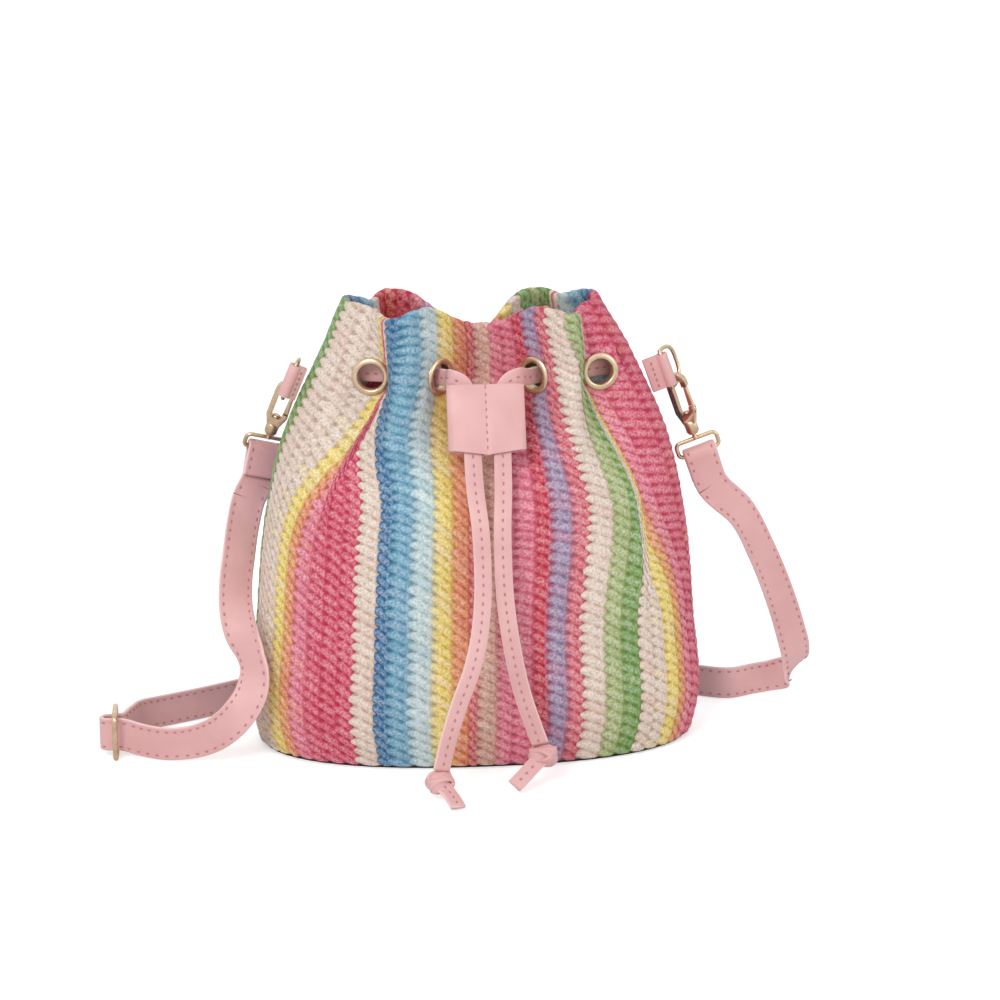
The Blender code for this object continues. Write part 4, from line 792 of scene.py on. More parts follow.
def wall_cloth(name, numbers):
    """Strips of weave for some of the cloth's columns, from the board over the rim and in."""
    us = np.linspace(0.0, 1.0, ACROSS_STEPS + 1)
    rows_up = STITCH_ROWS * ROWS_PER_STITCH + 1
    t = np.concatenate([np.linspace(0.0, 1.0, rows_up), np.ones(LIP_STEPS + HEM_ROWS)])
    lip = np.concatenate([np.zeros(rows_up), np.linspace(0, math.pi, LIP_STEPS + 1)[1:],
                          np.full(HEM_ROWS, math.pi)])
    drop = np.concatenate([np.zeros(rows_up + LIP_STEPS),
                           np.linspace(0, HEM_DEPTH, HEM_ROWS + 1)[1:]])
    beyond = np.concatenate([np.zeros(rows_up), np.linspace(0, LIP_LENGTH, LIP_STEPS + 1)[1:],
                             LIP_LENGTH + drop[-HEM_ROWS:]])
    stitch = (RIM_HEIGHT - WALL_BOTTOM) / STITCH_ROWS
    v = (t + UPPER_STRETCH * np.clip(t - 0.5, 0.0, 0.5)) * STITCH_ROWS + beyond / stitch
    positions, dyes, flecks, depths, weave_uvs, faces = [], [], [], [], [], []
    reach = np.concatenate([[0.0], np.cumsum([c[2] for c in COLUMNS])])
    starts = reach * MM / HALF_COLUMN + FIRST_COLUMN
    vertex = 0
    for number in numbers:
        dye, fleck, _ = COLUMNS[number]
        wide = starts[number + 1] - starts[number]
        grid_u, grid_v = np.meshgrid(us, v)
        phase = (grid_v + COLUMN_WAVE * math.sin(number * 2.1)
                 + ROW_WAVE * np.sin(grid_v * 0.71 + number * 1.7))
        height, lobe = weave_height(grid_u, phase)
        strands = slanted(grid_u, phase)
        uneven = scatter(np.floor(strands), number)
        height = height * (1 - LOW_STITCH + LOW_STITCH * uneven)
        column = starts[number] + wide * grid_u
        size = LOBE_SIZES[0] + LOBE_SIZES[1] * uneven
        column -= wide * LOBE_REACH * size * lobe * (1 - ease(grid_u / LOBE_FADE))
        column += wide * TUCK_REACH * ease((grid_u - 1 + TUCK_WIDTH) / TUCK_WIDTH)
        top = place_of(column, np.ones_like(column))
        rim = rim_height(top)
        z = WALL_BOTTOM + t[:, None] * (rim - WALL_BOTTOM) - drop[:, None]
        share = place_of(column, hidden(column, z))
        middle = on_wall(share, z, np.zeros_like(z))
        radial = round_eyelets(middle)
        loose = ease((radial - PRESSED_RADIUS) / PRESSED_FADE)
        proud = BASE_OUT + height * (RELIEF * loose + PRESSED_RELIEF * (1 - loose))
        points = on_wall(share, z, proud * np.cos(lip)[:, None])
        points[..., 2] += proud * np.sin(lip)[:, None]
        rows, across = z.shape
        positions.append(points.reshape(-1, 3))
        depths.append((1 - height).reshape(-1))
        weave_uvs.append(np.stack([number + np.clip(grid_u, 0.001, 0.999), strands],
                                  axis=-1).reshape(-1, 2))
        blended = np.tile(np.array(dye), (rows, across, 1))
        for other, edge in ((number - 1, grid_u), (number + 1, 1 - grid_u)):
            neighbour = COLUMNS[other % len(COLUMNS)][0]
            if CREAM not in (dye, neighbour):
                share_of_other = BLEED * np.clip(1 - edge / SOFT_EDGE, 0, 1)[..., None]
                blended = blended * (1 - share_of_other) + np.array(neighbour) * share_of_other
        dyes.append(blended.reshape(-1, 4))
        flecks.append(np.tile(fleck, (rows * across, 1)))
        index = vertex + np.arange(rows * across).reshape(rows, across)
        quads = np.stack([index[:-1, :-1], index[:-1, 1:], index[1:, 1:], index[1:, :-1]],
                         axis=-1).reshape(-1, 4)
        holed = (radial.reshape(-1) < HOLE_RADIUS)[quads - vertex].any(axis=1)
        faces.append(quads[~holed])
        vertex += rows * across
    positions = np.concatenate(positions)
    quads = np.concatenate(faces)
    used = np.unique(quads)
    renumber = np.full(len(positions), -1)
    renumber[used] = np.arange(len(used))
    quads = renumber[quads]
    mesh = bpy.data.meshes.new(name)
    mesh.from_pydata(positions[used], [], quads)
    mesh.shade_smooth()
    for attribute, values in (("dye", dyes), ("fleck", flecks)):
        layer = mesh.attributes.new(attribute, "FLOAT_COLOR", "POINT")
        layer.data.foreach_set("color", np.concatenate(values)[used].astype(np.float32).ravel())
    layer = mesh.attributes.new("gap", "FLOAT", "POINT")
    layer.data.foreach_set("value", np.concatenate(depths)[used].astype(np.float32))
    uvs = np.concatenate(weave_uvs)[used][quads.ravel()]
    mesh.uv_layers.new(name="weave").data.foreach_set("uv", uvs.astype(np.float32).ravel())
    mesh.validate()
    mesh.materials.append(straw)
    item = put_in(name, mesh)
    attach(item, "bag")
    return item


straw, shader, add, feed, place = new_finish("dyed_straw")
weave = add("UVMap", {}, uv_map="weave").outputs[0]
parts = add("SeparateXYZ", {0: weave})
column_number = add("Math", {0: parts.outputs[0]}, operation="FLOOR").outputs[0]
stitch_number = add("Math", {0: parts.outputs[1]}, operation="FLOOR").outputs[0]
stitch_cell = add("CombineXYZ", {0: column_number, 1: stitch_number}).outputs[0]
chance = add("TexWhiteNoise", {"Vector": stitch_cell}, noise_dimensions="2D")
fibre_place = add("VectorMath", {0: weave, 1: (3.0, 34.0, 1.0)}, operation="MULTIPLY").outputs[0]
fibre = noise(add, fibre_place, 1.0, 3.0, noise_dimensions="2D")
mottle = noise(add, place, 1000.0, 5.0)
dye, fleck = (add("Attribute", {}, attribute_name=key).outputs["Color"] for key in ("dye", "fleck"))
gap = add("Attribute", {}, attribute_name="gap").outputs["Fac"]
flecked = spread(add, chance.outputs["Value"], 0.5, 1.0, 0.0, 0.36)
fleck_share = combined(add, flecked, spread(add, mottle, 0.35, 0.7, 0.4, 1.3))
yarn = mix_colours(add, fleck_share, dye, fleck)
strand_light = spread(add, fibre, 0.3, 0.7, 0.84, 1.08)
speckle = spread(add, mottle, 0.3, 0.7, 0.77, 1.20)
light_share = combined(add, strand_light, speckle)
evened = add("VectorMath", {0: yarn, "Scale": light_share}, operation="SCALE").outputs[0]
# Painted highlight: where the strands stand highest, the colour goes patchily towards near-white.
painted_highlight = combined(add, spread(add, gap, 0.5, 0.1, 0.0, 0.3),
                 spread(add, mottle, 0.4, 0.62, 0.2, 1.0))
lit = mix_colours(add, painted_highlight, evened, (1.0, 0.97, 0.95, 1.0))
shade_share = spread(add, gap, 0.30, 0.85, 0.0, 0.80)
shadow_colour = add("VectorMath", {0: yarn, 1: (0.36, 0.26, 0.24)}, operation="MULTIPLY").outputs[0]
feed("Base Color", mix_colours(add, shade_share, lit, shadow_colour))
feed("Roughness", spread(add, fibre, 0.3, 0.7, 0.68, 0.52))
fibre_bump = raised(add, fibre, 0.5, 0.22 * MM)
feed("Normal", raised(add, mottle, 0.25, 0.2 * MM, Normal=fibre_bump))
shader.inputs["Specular IOR Level"].default_value = 0.32

front_columns = [n for n in range(len(COLUMNS)) if n not in BACK_COLUMNS]
for name, numbers in (("straw_wall_front", front_columns), ("straw_wall_back", BACK_COLUMNS)):
    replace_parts(wall_cloth(name, numbers), "bag_body")


# ---- Base board -----------------------------------------------------------------------
# Stiff board under the bag, coloured dark brown. The wall is sewn down to its edge.

BOARD_BROWN = srgb(0.27, 0.19, 0.14)
BOARD_DARK = srgb(0.19, 0.13, 0.09)

board, shader, add, feed, place = new_finish("brown_board")
pulp = noise(add, place, 900.0, 6.0, 0.7)
cloudy = spread(add, noise(add, place, 45.0, 3.0), 0.35, 0.65, 0.0, 1.0)
feed("Base Color", mix_colours(add, cloudy, BOARD_BROWN, BOARD_DARK))
feed("Roughness", spread(add, pulp, 0.3, 0.7, 0.6, 0.78))
feed("Normal", raised(add, pulp, 0.3, 0.15 * MM))


def cover(item, material):
    """Gives a piece one material only."""
    item.data.materials.clear()
    item.data.materials.append(material)


cover(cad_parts["base_panel"], board)


# ---- Lining ---------------------------------------------------------------------------
# Loose pouch of plain woven cotton that hangs inside the wall from below the eyelets.

LINING_CREAM = srgb(0.88, 0.84, 0.78)
LINING_SHADE = srgb(0.78, 0.73, 0.66)
LINING_THREADS = 1900.0

lining, shader, add, feed, place = new_finish("lining_cotton")
warp, weft = (add("TexWave", {"Vector": place, "Scale": LINING_THREADS / 6, "Distortion": 0.6},
                  bands_direction=way).outputs["Fac"] for way in ("DIAGONAL", "Z"))
crossed = combined(add, warp, weft)
soiled = spread(add, noise(add, place, 30.0, 4.0), 0.3, 0.7, 0.0, 1.0)
feed("Base Color", mix_colours(add, soiled, LINING_CREAM, LINING_SHADE))
feed("Roughness", spread(add, crossed, 0.0, 1.0, 0.92, 0.8))
feed("Normal", raised(add, crossed, 0.35, 0.2 * MM))
cover(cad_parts["lining"], lining)


# ---- Eyelets --------------------------------------------------------------------------
# Eight rings of pale gold plated steel. Each is rolled over on both faces of the wall, which
# it presses flat, and the lace runs through four of them.

# Lit and shaded tones of the same gold, used as painted light and shade.
GOLD_LIT = srgb(0.89, 0.80, 0.68)
GOLD_SHADED = srgb(0.74, 0.61, 0.48)

gold, shader, add, feed, place = new_finish("pale_gold_plate")
polish = noise(add, place, 700.0, 4.0)
# Painted light and shade: the lit and shaded golds are mixed in random patches.
painted_light_and_shade = spread(add, noise(add, place, 120.0, 5.0, 0.7), 0.35, 0.7, 0.0, 0.8)
feed("Base Color", mix_colours(add, painted_light_and_shade, GOLD_LIT, GOLD_SHADED))
feed("Roughness", spread(add, polish, 0.3, 0.7, 0.26, 0.40))
feed("Normal", raised(add, polish, 0.05, 0.1 * MM))
shader.inputs["Metallic"].default_value = 1.0

EYELET_OUTLINE = [(5.5, 0.0), (5.5, 1.7), (5.62, 2.1), (5.95, 2.42), (6.4, 2.55), (6.95, 2.52),
                  (7.5, 2.33), (7.95, 2.02), (8.2, 1.75), (8.22, 1.6), (8.1, 1.55), (6.3, 1.55)]
EYELET_TURNS = 64


def turned_ring(name, outline, turns, matrix):
    """Closed outline of radius and height in millimetres, turned about Z, in pale gold."""
    vertices = []
    for k in range(turns):
        angle = math.tau * k / turns
        for r, z in outline:
            vertices.append(matrix @ (Vector((r * math.cos(angle), r * math.sin(angle), z)) * MM))
    mesh = bpy.data.meshes.new(name)
    mesh.from_pydata(vertices, [], band_faces(turns, len(outline), closed=True))
    solid = bmesh.new()
    solid.from_mesh(mesh)
    bmesh.ops.remove_doubles(solid, verts=solid.verts, dist=1e-7)
    bmesh.ops.recalc_face_normals(solid, faces=solid.faces)
    solid.to_mesh(mesh)
    solid.free()
    mesh.materials.append(gold)
    mesh.shade_smooth()
    mesh.set_sharp_from_angle(angle=math.radians(50))
    item = put_in(name, mesh)
    return item


def frame_at(origin, x_axis, z_axis):
    """Matrix with a given Z axis and an X axis as near as can be to the given one."""
    z = Vector(z_axis).normalized()
    x = (Vector(x_axis) - z * Vector(x_axis).dot(z)).normalized()
    return Matrix.Translation(origin) @ Matrix((x, z.cross(x), z)).transposed().to_4x4()


both_faces = EYELET_OUTLINE + [(r, -z) for r, z in reversed(EYELET_OUTLINE[1:])]
for name, (middle, normal) in eyelet_places.items():
    matrix = frame_at(middle, (0.3, 0.2, 1.0), normal)
    eyelet = turned_ring("eyelet_ring_" + name, both_faces, EYELET_TURNS, matrix)
    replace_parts(eyelet, "eyelet_" + name)
    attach(eyelet, "bag")


# ---- Held lace ------------------------------------------------------------------------
# The same lace inside the neck: up out of the slide, in through the two middle front eyelets,
# round past the outer ones and once across the middle of the back.

LACE_BEND = 3.8 * MM
FRONT_LACE_OFFSET = 5.2 * MM
INSIDE_LACE_OFFSET = 6.0 * MM
SLIDE_PLAY = 0.6 * MM


def through_eyelet(middle, normal, sense):
    """Three stations through an eyelet, inward for a sense of 1."""
    up = Vector((0.0, 0.0, 1.0))
    hang = normal * up.dot(normal) - up
    step = normal * FRONT_LACE_OFFSET * sense
    return [(*(middle + step), *hang), (*middle, *hang), (*(middle - step), *hang)]


def lace_half(side):
    """Half of the held lace, from the slide to the middle of the back."""
    sign = -1 if side == "left" else 1
    across = slide_across * sign
    top = SLIDE_CENTRE - slide_down * SLIDE_LENGTH / 2
    bottom = SLIDE_CENTRE + slide_down * (SLIDE_LENGTH / 2 - SLIDE_PLAY)
    rise = top - slide_down * 1.6 * MM + across * (LACE_SPREAD + 4.2 * MM)
    over = top - slide_down * LACE_BEND + across * (LACE_SPREAD + 8.4 * MM) - slide_out * 1.4 * MM
    half = [(*(bottom + across * LACE_SPREAD), *across),
            (*(SLIDE_CENTRE + across * (LACE_SPREAD + 0.5 * MM)), *across),
            (*(top + slide_down * 4.0 * MM + across * (LACE_SPREAD + 1.2 * MM)), *across),
            (*(top + slide_down * 0.6 * MM + across * (LACE_SPREAD + 2.4 * MM)),
             sign * 0.95, 0.0, -0.3),
            (*rise, sign * 0.72, 0.0, -0.7), (*over, sign * 0.25, 0.0, -0.97)]
    half += through_eyelet(*eyelet_places["front_centre_" + side], 1)
    for turn in (0.174, 0.215, 0.25, 0.285, 0.326):
        share = turn if sign > 0 else 1.0 - turn
        point = Vector(wall_row(np.array([share]), EYELET_HEIGHT)[0])
        point -= wall_normal(share, EYELET_HEIGHT) * INSIDE_LACE_OFFSET
        half.append((point.x, point.y, EYELET_HEIGHT, 0.0, 0.0, -1.0))
    half += through_eyelet(*eyelet_places["back_centre_" + side], -1)
    x, y = half[-1][:2]
    half.append((x * 0.35, y + 1.0 * MM, EYELET_HEIGHT, 0.0, 0.0, -1.0))
    return half


line = even_line(lace_half("right") + lace_half("left")[::-1], 1.0 * MM)
held_lace = leather_strip("held_lace", line, LACE_WIDTH, LACE_THICKNESS, [0.0], LACE_STITCH_PITCH)
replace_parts(held_lace, "drawstring")
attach(held_lace, "bag")


# ---- Slide ----------------------------------------------------------------------------
# Two layers of pink leather sewn together down the middle, so that each lace has its own
# channel. It slides on the laces to draw the neck together.

def softened(node, name, material, body, bevel):
    """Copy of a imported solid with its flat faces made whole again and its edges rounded."""
    item = put_in(name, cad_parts[node].data.copy())
    work = bmesh.new()
    work.from_mesh(item.data)
    bmesh.ops.remove_doubles(work, verts=work.verts, dist=0.003 * MM)
    bmesh.ops.dissolve_limit(work, angle_limit=math.radians(1.0), verts=work.verts,
                             edges=work.edges)
    work.to_mesh(item.data)
    work.free()
    cover(item, material)
    rounding = item.modifiers.new("Rounded", "BEVEL")
    rounding.width = bevel
    rounding.segments = 2
    rounding.limit_method = "ANGLE"
    rounding.angle_limit = math.radians(40.0)
    item.data.shade_smooth()
    item.data.set_sharp_from_angle(angle=math.pi)
    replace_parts(item, node)
    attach(item, body)


def stitch_rows(name, middle, along, out, pitch, each_way, height, body):
    """A row of separate stitches on both faces of a piece, evenly about its middle."""
    domes = []
    for face in (1, -1):
        for k in range(-each_way, each_way + 1):
            seat = np.array(middle + along * (k * pitch) + out * face * height)
            a, o = np.array(along), np.array(out * face)
            domes.append(stitch_dome(seat, a, np.cross(o, a), o))
    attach(leather_piece(name, [], domes, []), body)


SLIDE_SEAM_PITCH = 3.25 * MM
SLIDE_SEAM_OUT = 1.8 * MM

softened("cord_keeper", "lace_slide", leather, "keeper", 0.5 * MM)
stitch_rows("slide_stitches", SLIDE_CENTRE, slide_down, slide_out, SLIDE_SEAM_PITCH, 4,
            SLIDE_SEAM_OUT, "keeper")


# ---- Side tabs ------------------------------------------------------------------------
# A short loop of pink leather at each side of the neck, folded round the straight bar of
# its ring and sewn through the wall.

TAB_SEAM_OUT = 1.62 * MM
TAB_SEAM_SHARE = 0.62
TAB_STITCH_PITCH = 2.6 * MM
# For each side: the middle and direction of the ring's bar, the tab's direction and length,
# how the ring stands, where the hook lies on it, how hook and eye hang, and the eye's bar
SIDES = {
    "left": {
        "centre": Vector((-0.080924, -0.000149, 0.163848)),
        "bar": Vector((-0.370426, 0.120138, -0.92106)),
        "tab": Vector((-0.92871, -0.0298, 0.36961)),
        "tab_length": 5.0 * MM,
        "swing": Vector((0.16, 0.98, 0.02)),
        "contact": Vector((-0.082366, 0.008949, 0.157102)),
        "hang": Vector((-0.295822, 0.42117, -0.857382)),
        "eye": Vector((-0.9545, -0.1656, 0.24798)),
    },
    "right": {
        "centre": Vector((0.084363, 0.0, 0.16494)),
        "bar": Vector((0.341904, 0.0, -0.939735)),
        "tab": Vector((0.93974, 0.0, 0.3419)),
        "tab_length": 8.6 * MM,
        "swing": Vector((0.51, 0.848, 0.143)),
        "contact": Vector((0.089881, 0.004414, 0.157814)),
        "hang": Vector((0.336067, 0.035007, -0.941187)),
        "eye": Vector((0.94176, 0.0, 0.33627)),
    },
}

for side, how in SIDES.items():
    softened("tab_" + side, "side_tab_" + side, leather, "bag", 0.35 * MM)
    seam = how["centre"] - how["tab"] * (how["tab_length"] * TAB_SEAM_SHARE)
    out = how["bar"].cross(how["tab"]).normalized()
    stitch_rows("tab_stitches_" + side, seam, how["bar"], out, TAB_STITCH_PITCH, 2,
                TAB_SEAM_OUT, "bag")


# ---- D rings --------------------------------------------------------------------------
# Closed rings of round wire, plated pale gold. The straight side turns in the leather tab.

RING_WIRE_RADIUS = 0.9 * MM
RING_HALF_WIDTH = 8.8 * MM
RING_DEPTH = 12.5 * MM
RING_POWER = 3.0
RING_STEPS = 48


def round_wire(name, points, radius):
    """Closed loop of round wire through points, as a smooth curve."""
    curve = bpy.data.curves.new(name, "CURVE")
    curve.dimensions = "3D"
    spline = curve.splines.new("POLY")
    spline.points.add(len(points) - 1)
    for seat, point in zip(spline.points, points):
        seat.co = (*point, 1.0)
    spline.use_cyclic_u = True
    spline.use_smooth = True
    curve.bevel_depth = radius
    curve.bevel_resolution = 5
    curve.materials.append(gold)
    item = put_in(name, curve)
    return item


for side, how in SIDES.items():
    swing = (how["swing"] - how["bar"] * how["swing"].dot(how["bar"])).normalized()
    points = [how["centre"] + how["bar"] * (RING_HALF_WIDTH * x)
              for x in (-1.0, -0.5, 0.0, 0.5, 1.0)]
    for k in range(1, RING_STEPS):
        angle = math.pi * k / RING_STEPS
        x = math.copysign(abs(math.cos(angle)) ** (2 / RING_POWER), math.cos(angle))
        y = math.sin(angle) ** (2 / RING_POWER)
        points.append(how["centre"] + how["bar"] * (RING_HALF_WIDTH * x) + swing * (RING_DEPTH * y))
    ring = round_wire("ring_" + side, points, RING_WIRE_RADIUS)
    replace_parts(ring, "d_ring_" + side)
    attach(ring, "ring_" + side)


# ---- Snap hooks and gates -------------------------------------------------------------
# Cast hooks, plated pale gold, each with a turned barrel for its swivel and a small gate on
# a pin, which a spring inside keeps shut against the hook's nose.

for side in SIDES:
    softened("hook_" + side, "snap_hook_" + side, gold, "snap_" + side, 0.3 * MM)
    softened("gate_" + side, "snap_gate_" + side, gold, "latch_" + side, 0.2 * MM)


# ---- Strap eyes -----------------------------------------------------------------------
# A flat loop of wire for the strap on a headed stem, which turns in the hook's barrel.

EYE_WIRE_RADIUS = 0.95 * MM
EYE_HALF_WIDTH = 9.5 * MM
EYE_HEIGHT = 6.8 * MM
EYE_CORNER = 2.2 * MM
CORNER_STEPS = 8
SWIVEL_LENGTH = 27.2 * MM
STEM_OUTLINE = [(0.0, -13.8), (0.9, -13.82), (1.4, -14.0), (1.68, -14.35), (1.7, -14.7),
                (1.05, -14.7), (1.05, -26.0), (1.3, -26.6), (1.3, -27.6), (0.0, -27.8)]
STEM_TURNS = 24


def rounded_loop(half_x, half_y, radius):
    """Corners of a rounded rectangle, in plan."""
    points = []
    x, y = half_x - radius, half_y - radius
    for cx, cy, start in ((x, y, 0), (-x, y, 90), (-x, -y, 180), (x, -y, 270)):
        for k in range(CORNER_STEPS + 1):
            angle = math.radians(start + 90 * k / CORNER_STEPS)
            points.append((cx + radius * math.cos(angle), cy + radius * math.sin(angle)))
    return points


for side, how in SIDES.items():
    matrix = frame_at(how["contact"], how["eye"], -how["hang"])
    loop = [matrix @ Vector((x, 0.0, z - SWIVEL_LENGTH - EYE_HEIGHT / 2))
            for x, z in rounded_loop(EYE_HALF_WIDTH, EYE_HEIGHT / 2, EYE_CORNER)]
    eye = round_wire("eye_loop_" + side, loop, EYE_WIRE_RADIUS)
    stem = turned_ring("eye_stem_" + side, STEM_OUTLINE, STEM_TURNS, matrix)
    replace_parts(eye, "strap_eye_" + side)
    for piece in (eye, stem):
        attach(piece, "eye_" + side)


# ---- Shoulder strap -------------------------------------------------------------------
# One long strap of pink leather, folded over a core and sewn near both edges. It is sewn back
# on itself round each eye, lies on the floor behind the bag, and turns in the slide.

STRAP_WIDTH = 15.0 * MM
STRAP_THICKNESS = 2.0 * MM
STRAP_LAYER_GAP = 0.5 * MM
STRAP_PLAY = 0.5 * MM
STRAP_TAIL = 4.0 * MM
FOLD_NEAR = 4.0 * MM
FOLD_FAR = 9.0 * MM
FOLD_STEPS = 8
FOLD_MIDDLE = 4 + FOLD_STEPS // 2
LINE_STEPS = 14
STRAP_SEAM = 5.5 * MM
STRAP_STITCH_PITCH = 4.1 * MM
STRAP_STEP = 1.1 * MM
ADJUSTER_X = -161.0 * MM
ADJUSTER_Y = -15.5 * MM
ADJUSTER_WIRE_RADIUS = 1.2 * MM
ADJUSTER_HALF_SPAN = 9.2 * MM
ADJUSTER_HALF_HEIGHT = 9.4 * MM
ADJUSTER_LOOP = 3.0 * MM
ADJUSTER_PLAY = 0.8 * MM
EYE_TO_SNAP = (14.0 * MM, 20.0 * MM)
SNAP_TO_RING = (20.0 * MM, 28.0 * MM)
RING_TO_BAG = (28.0 * MM, 64.0 * MM)
RIGHT_ROUTE = [
    (121.6, 8.0, 96.0, 0.78, 0.42, 0.46), (131.8, 13.0, 77.0, 0.74, 0.38, 0.55),
    (140.8, 18.0, 56.4, 0.74, 0.28, 0.61), (148.0, 22.5, 36.0, 0.78, 0.18, 0.60),
    (151.6, 26.0, 23.5, 0.80, 0.14, 0.56), (152.4, 31.5, 15.4, 0.70, 0.10, 0.70),
    (149.8, 36.4, 10.6, 0.44, 0.18, 0.88), (143.6, 38.2, 8.6, 0.12, 0.04, 0.99), (134.0, 36.2, 7.9),
    (122.0, 31.4, 7.8), (109.0, 36.0, 7.8), (95.0, 49.0, 7.8), (70.0, 64.0, 7.8), (36.0, 71.0, 7.8),
    (0.0, 73.0, 7.8), (-40.0, 70.0, 7.8), (-78.0, 57.0, 7.8), (-104.0, 40.0, 7.8),
    (-122.0, 29.0, 7.8), (-142.0, 17.0, 8.2), (-150.0, 9.0, 9.4), (-155.0, -4.0, 10.6),
]
LEFT_ROUTE = [
    (-99.8, 16.0, 106.7, -0.94, -0.10, 0.20), (-102.6, 9.4, 97.4, -0.93, -0.20, 0.16),
    (-104.8, 1.0, 86.4, -0.92, -0.28, 0.12), (-106.8, -8.0, 73.7, -0.93, -0.22, 0.10),
    (-106.8, -15.0, 64.9, -0.94, 0.06, 0.20), (-105.0, -21.0, 56.6, -0.80, 0.42, 0.28),
    (-101.4, -26.6, 48.8, -0.66, 0.66, 0.30), (-99.8, -30.4, 41.6, -0.60, 0.68, 0.42),
    (-101.4, -34.0, 32.8, -0.68, 0.52, 0.52), (-106.6, -35.4, 24.4, -0.66, 0.34, 0.66),
    (-114.0, -33.4, 16.4, -0.44, 0.22, 0.86), (-122.8, -29.2, 10.6, -0.16, 0.10, 0.98),
    (-131.6, -26.8, 8.2), (-140.0, -25.4, 7.9), (-150.0, -21.6, 8.8),
]


def strap_fold(how, first):
    """Stations of the sewn fold round an eye's bar, from the end of its short layer."""
    bar = how["contact"] + how["hang"] * (SWIVEL_LENGTH + EYE_HEIGHT)
    across = how["eye"]
    along = Vector(first[:3]) * MM - bar
    along = (along - across * along.dot(across)).normalized()
    side = along.cross(across).normalized()
    layer = (STRAP_THICKNESS + STRAP_LAYER_GAP) / 2
    wrap = EYE_WIRE_RADIUS + STRAP_PLAY + STRAP_THICKNESS / 2
    between_layers = (wrap + layer) / 2
    spots = [bar + along * (FOLD_FAR + STRAP_TAIL * share) - side * layer
             for share in (1.0, 0.5, 0.0)]
    spots.append(bar + along * FOLD_NEAR - side * between_layers)
    for k in range(FOLD_STEPS + 1):
        angle = math.pi * k / FOLD_STEPS
        spots.append(bar - side * wrap * math.cos(angle) - along * wrap * math.sin(angle))
    spots += [bar + along * FOLD_NEAR + side * between_layers,
              bar + along * FOLD_FAR + side * layer,
              bar + along * (FOLD_FAR + STRAP_TAIL) + side * layer]
    return [(*spot, *across) for spot in spots]


def metre_stations(rows):
    """Stations in metres; the strap stands upright where a row gives only its place."""
    return [(x * MM, y * MM, z * MM, *(width or (0.0, 0.0, 1.0))) for x, y, z, *width in rows]


middle_bar = Vector((ADJUSTER_X, ADJUSTER_Y, ADJUSTER_HALF_HEIGHT + ADJUSTER_WIRE_RADIUS))
turn = ADJUSTER_WIRE_RADIUS + ADJUSTER_PLAY + STRAP_THICKNESS / 2
round_bar = [Vector((2.0 * MM, turn + 0.2 * MM, 0.0))]
for degrees in range(0, 181, 30):
    angle = math.radians(degrees)
    round_bar.append(Vector((-ADJUSTER_LOOP - turn * math.sin(angle), turn * math.cos(angle), 0.0)))
round_bar.append(Vector((2.0 * MM, -turn - 0.2 * MM, 0.0)))
fold_right = strap_fold(SIDES["right"], RIGHT_ROUTE[0])
fold_left = strap_fold(SIDES["left"], LEFT_ROUTE[0])
strap_line = smooth_line(fold_right + metre_stations(RIGHT_ROUTE)
                         + [(*(middle_bar + step), 0.0, 0.0, 1.0) for step in round_bar]
                         + metre_stations(LEFT_ROUTE)[::-1] + fold_left[::-1], LINE_STEPS)
strap_length = run_lengths(strap_line)[-1]


def strap_stretch(name, low, high, ends):
    """Stretch of the strap between two distances along it."""
    count = max(int(round((high - low) / STRAP_STEP)), 6)
    line = at_lengths(strap_line, np.linspace(low, high, count + 1))
    piece = leather_strip(name, line, STRAP_WIDTH, STRAP_THICKNESS, [-STRAP_SEAM, STRAP_SEAM],
                          STRAP_STITCH_PITCH, ends)
    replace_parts(piece, "shoulder_strap")
    return piece, line


def to_bend(fold):
    """Distance from the strap's end to the middle of its bend round the eye's bar."""
    return run_lengths(smooth_line(fold, LINE_STEPS))[FOLD_MIDDLE * LINE_STEPS]


bend_right = to_bend(fold_right)
bend_left = strap_length - to_bend(fold_left)
for side, bend, sense, end in (("right", bend_right, 1, 0.0),
                               ("left", bend_left, -1, strap_length)):
    low, high = sorted((end, bend + sense * EYE_TO_SNAP[0]))
    piece, line = strap_stretch("strap_fold_" + side, low, high, (sense > 0, sense < 0))
    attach(piece, "eye_" + side)
    chain = (("strap_upper_" + side, EYE_TO_SNAP, "eye_" + side, "snap_" + side),
             ("strap_middle_" + side, SNAP_TO_RING, "snap_" + side, "ring_" + side),
             ("strap_lower_" + side, RING_TO_BAG, "ring_" + side, "bag"))
    for name, reach, first, second in chain:
        low, high = sorted(bend + sense * distance for distance in reach)
        piece, line = strap_stretch(name, low, high, (False, False))
        start, finish = line[::sense][0, :3], line[::sense][-1, :3]
        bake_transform(piece)
piece, line = strap_stretch("strap_on_floor", bend_right + RING_TO_BAG[1],
                            bend_left - RING_TO_BAG[1], (False, False))
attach(piece, "bag")


# ---- Strap slide ----------------------------------------------------------------------
# Three-bar slide of pale gold wire, standing on its end. The strap turns round its middle
# bar, which is how its length is set.

BAR_OUTLINE = [(0.0, 9.4), (1.16, 9.4), (1.16, -9.4), (0.0, -9.4)]
ADJUSTER_CORNER = 1.8 * MM

slide_loop = [middle_bar + Vector((0.0, y, z))
              for y, z in rounded_loop(ADJUSTER_HALF_SPAN, ADJUSTER_HALF_HEIGHT, ADJUSTER_CORNER)]
slide_frame = round_wire("strap_slide_frame", slide_loop, ADJUSTER_WIRE_RADIUS)
slide_bar = turned_ring("strap_slide_bar", BAR_OUTLINE, STEM_TURNS, Matrix.Translation(middle_bar))
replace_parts(slide_frame, "strap_adjuster")
for piece in (slide_frame, slide_bar):
    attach(piece, "bag")


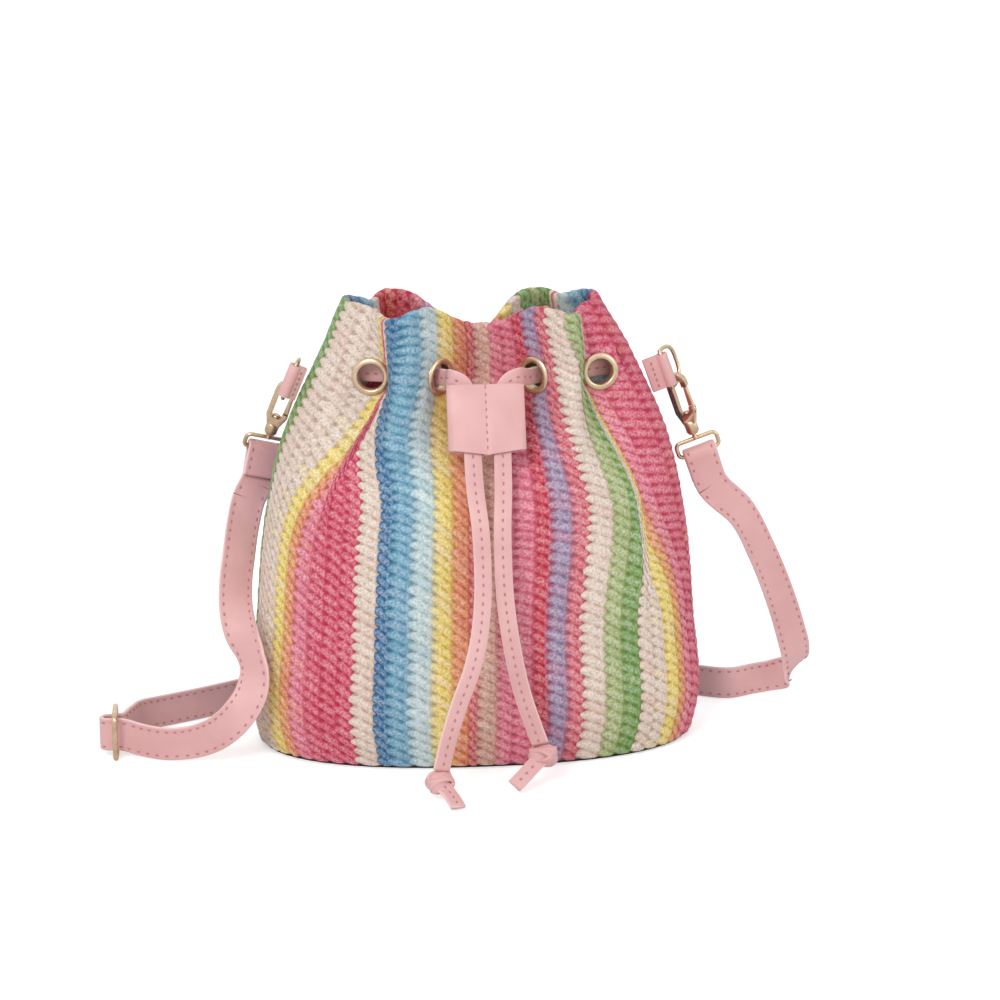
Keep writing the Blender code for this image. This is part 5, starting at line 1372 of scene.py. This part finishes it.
# ---- Floor and light ------------------------------------------------------------------
# Plain white floor under soft studio light, with a white surround.

FLOOR_HALF_SIDE = 9.0
FLOOR_WHITE = srgb(0.93, 0.93, 0.93)
SURROUND_LIGHT = 0.66
FLOOR_LIFT = 0.50
WHITE = (1.0, 1.0, 1.0, 1.0)

corners = [(x * FLOOR_HALF_SIDE, y * FLOOR_HALF_SIDE, 0.0)
           for x, y in ((-1, -1), (1, -1), (1, 1), (-1, 1))]
floor_mesh = bpy.data.meshes.new("floor")
floor_mesh.from_pydata(corners, [], [(0, 1, 2, 3)])
floor = put_in("floor", floor_mesh)
floor_finish, shader, add, feed, place = new_finish("white_floor")
shader.inputs["Base Color"].default_value = FLOOR_WHITE
shader.inputs["Roughness"].default_value = 0.9
shader.inputs["Specular IOR Level"].default_value = 0.0
shader.inputs["Emission Color"].default_value = WHITE
seen = add("LightPath", {}).outputs["Is Camera Ray"]
feed("Emission Strength", combined(add, seen, FLOOR_LIFT))
floor_mesh.materials.append(floor_finish)

world = bpy.data.worlds.new("white_surround")
scene.world = world
world.use_nodes = True
background = world.node_tree.nodes["Background"]
background.inputs["Color"].default_value = WHITE
add = node_maker(world.node_tree)
rays = add("LightPath", {}).outputs
seen = rays["Is Camera Ray"]
for kind in ("Is Glossy Ray", "Is Transmission Ray"):
    seen = combined(add, seen, rays[kind], "MAXIMUM")
strength = spread(add, seen, 0.0, 1.0, SURROUND_LIGHT, 1.0)
world.node_tree.links.new(strength, background.inputs["Strength"])

LIT_PLACE = Vector((0.0, 0.0, 0.1))
LAMPS = (
    ("key_light", (-0.9, -1.6, 1.5), 0.8, 19.0),
    ("fill_light", (1.5, -1.1, 0.9), 1.0, 6.0),
)
for name, spot, size, power in LAMPS:
    lamp = put_in(name, bpy.data.lights.new(name, "AREA"))
    lamp.data.shape = "DISK"
    lamp.data.size = size
    lamp.data.energy = power
    lamp.location = spot
    lamp.rotation_euler = (LIT_PLACE - Vector(spot)).to_track_quat("-Z", "Y").to_euler()
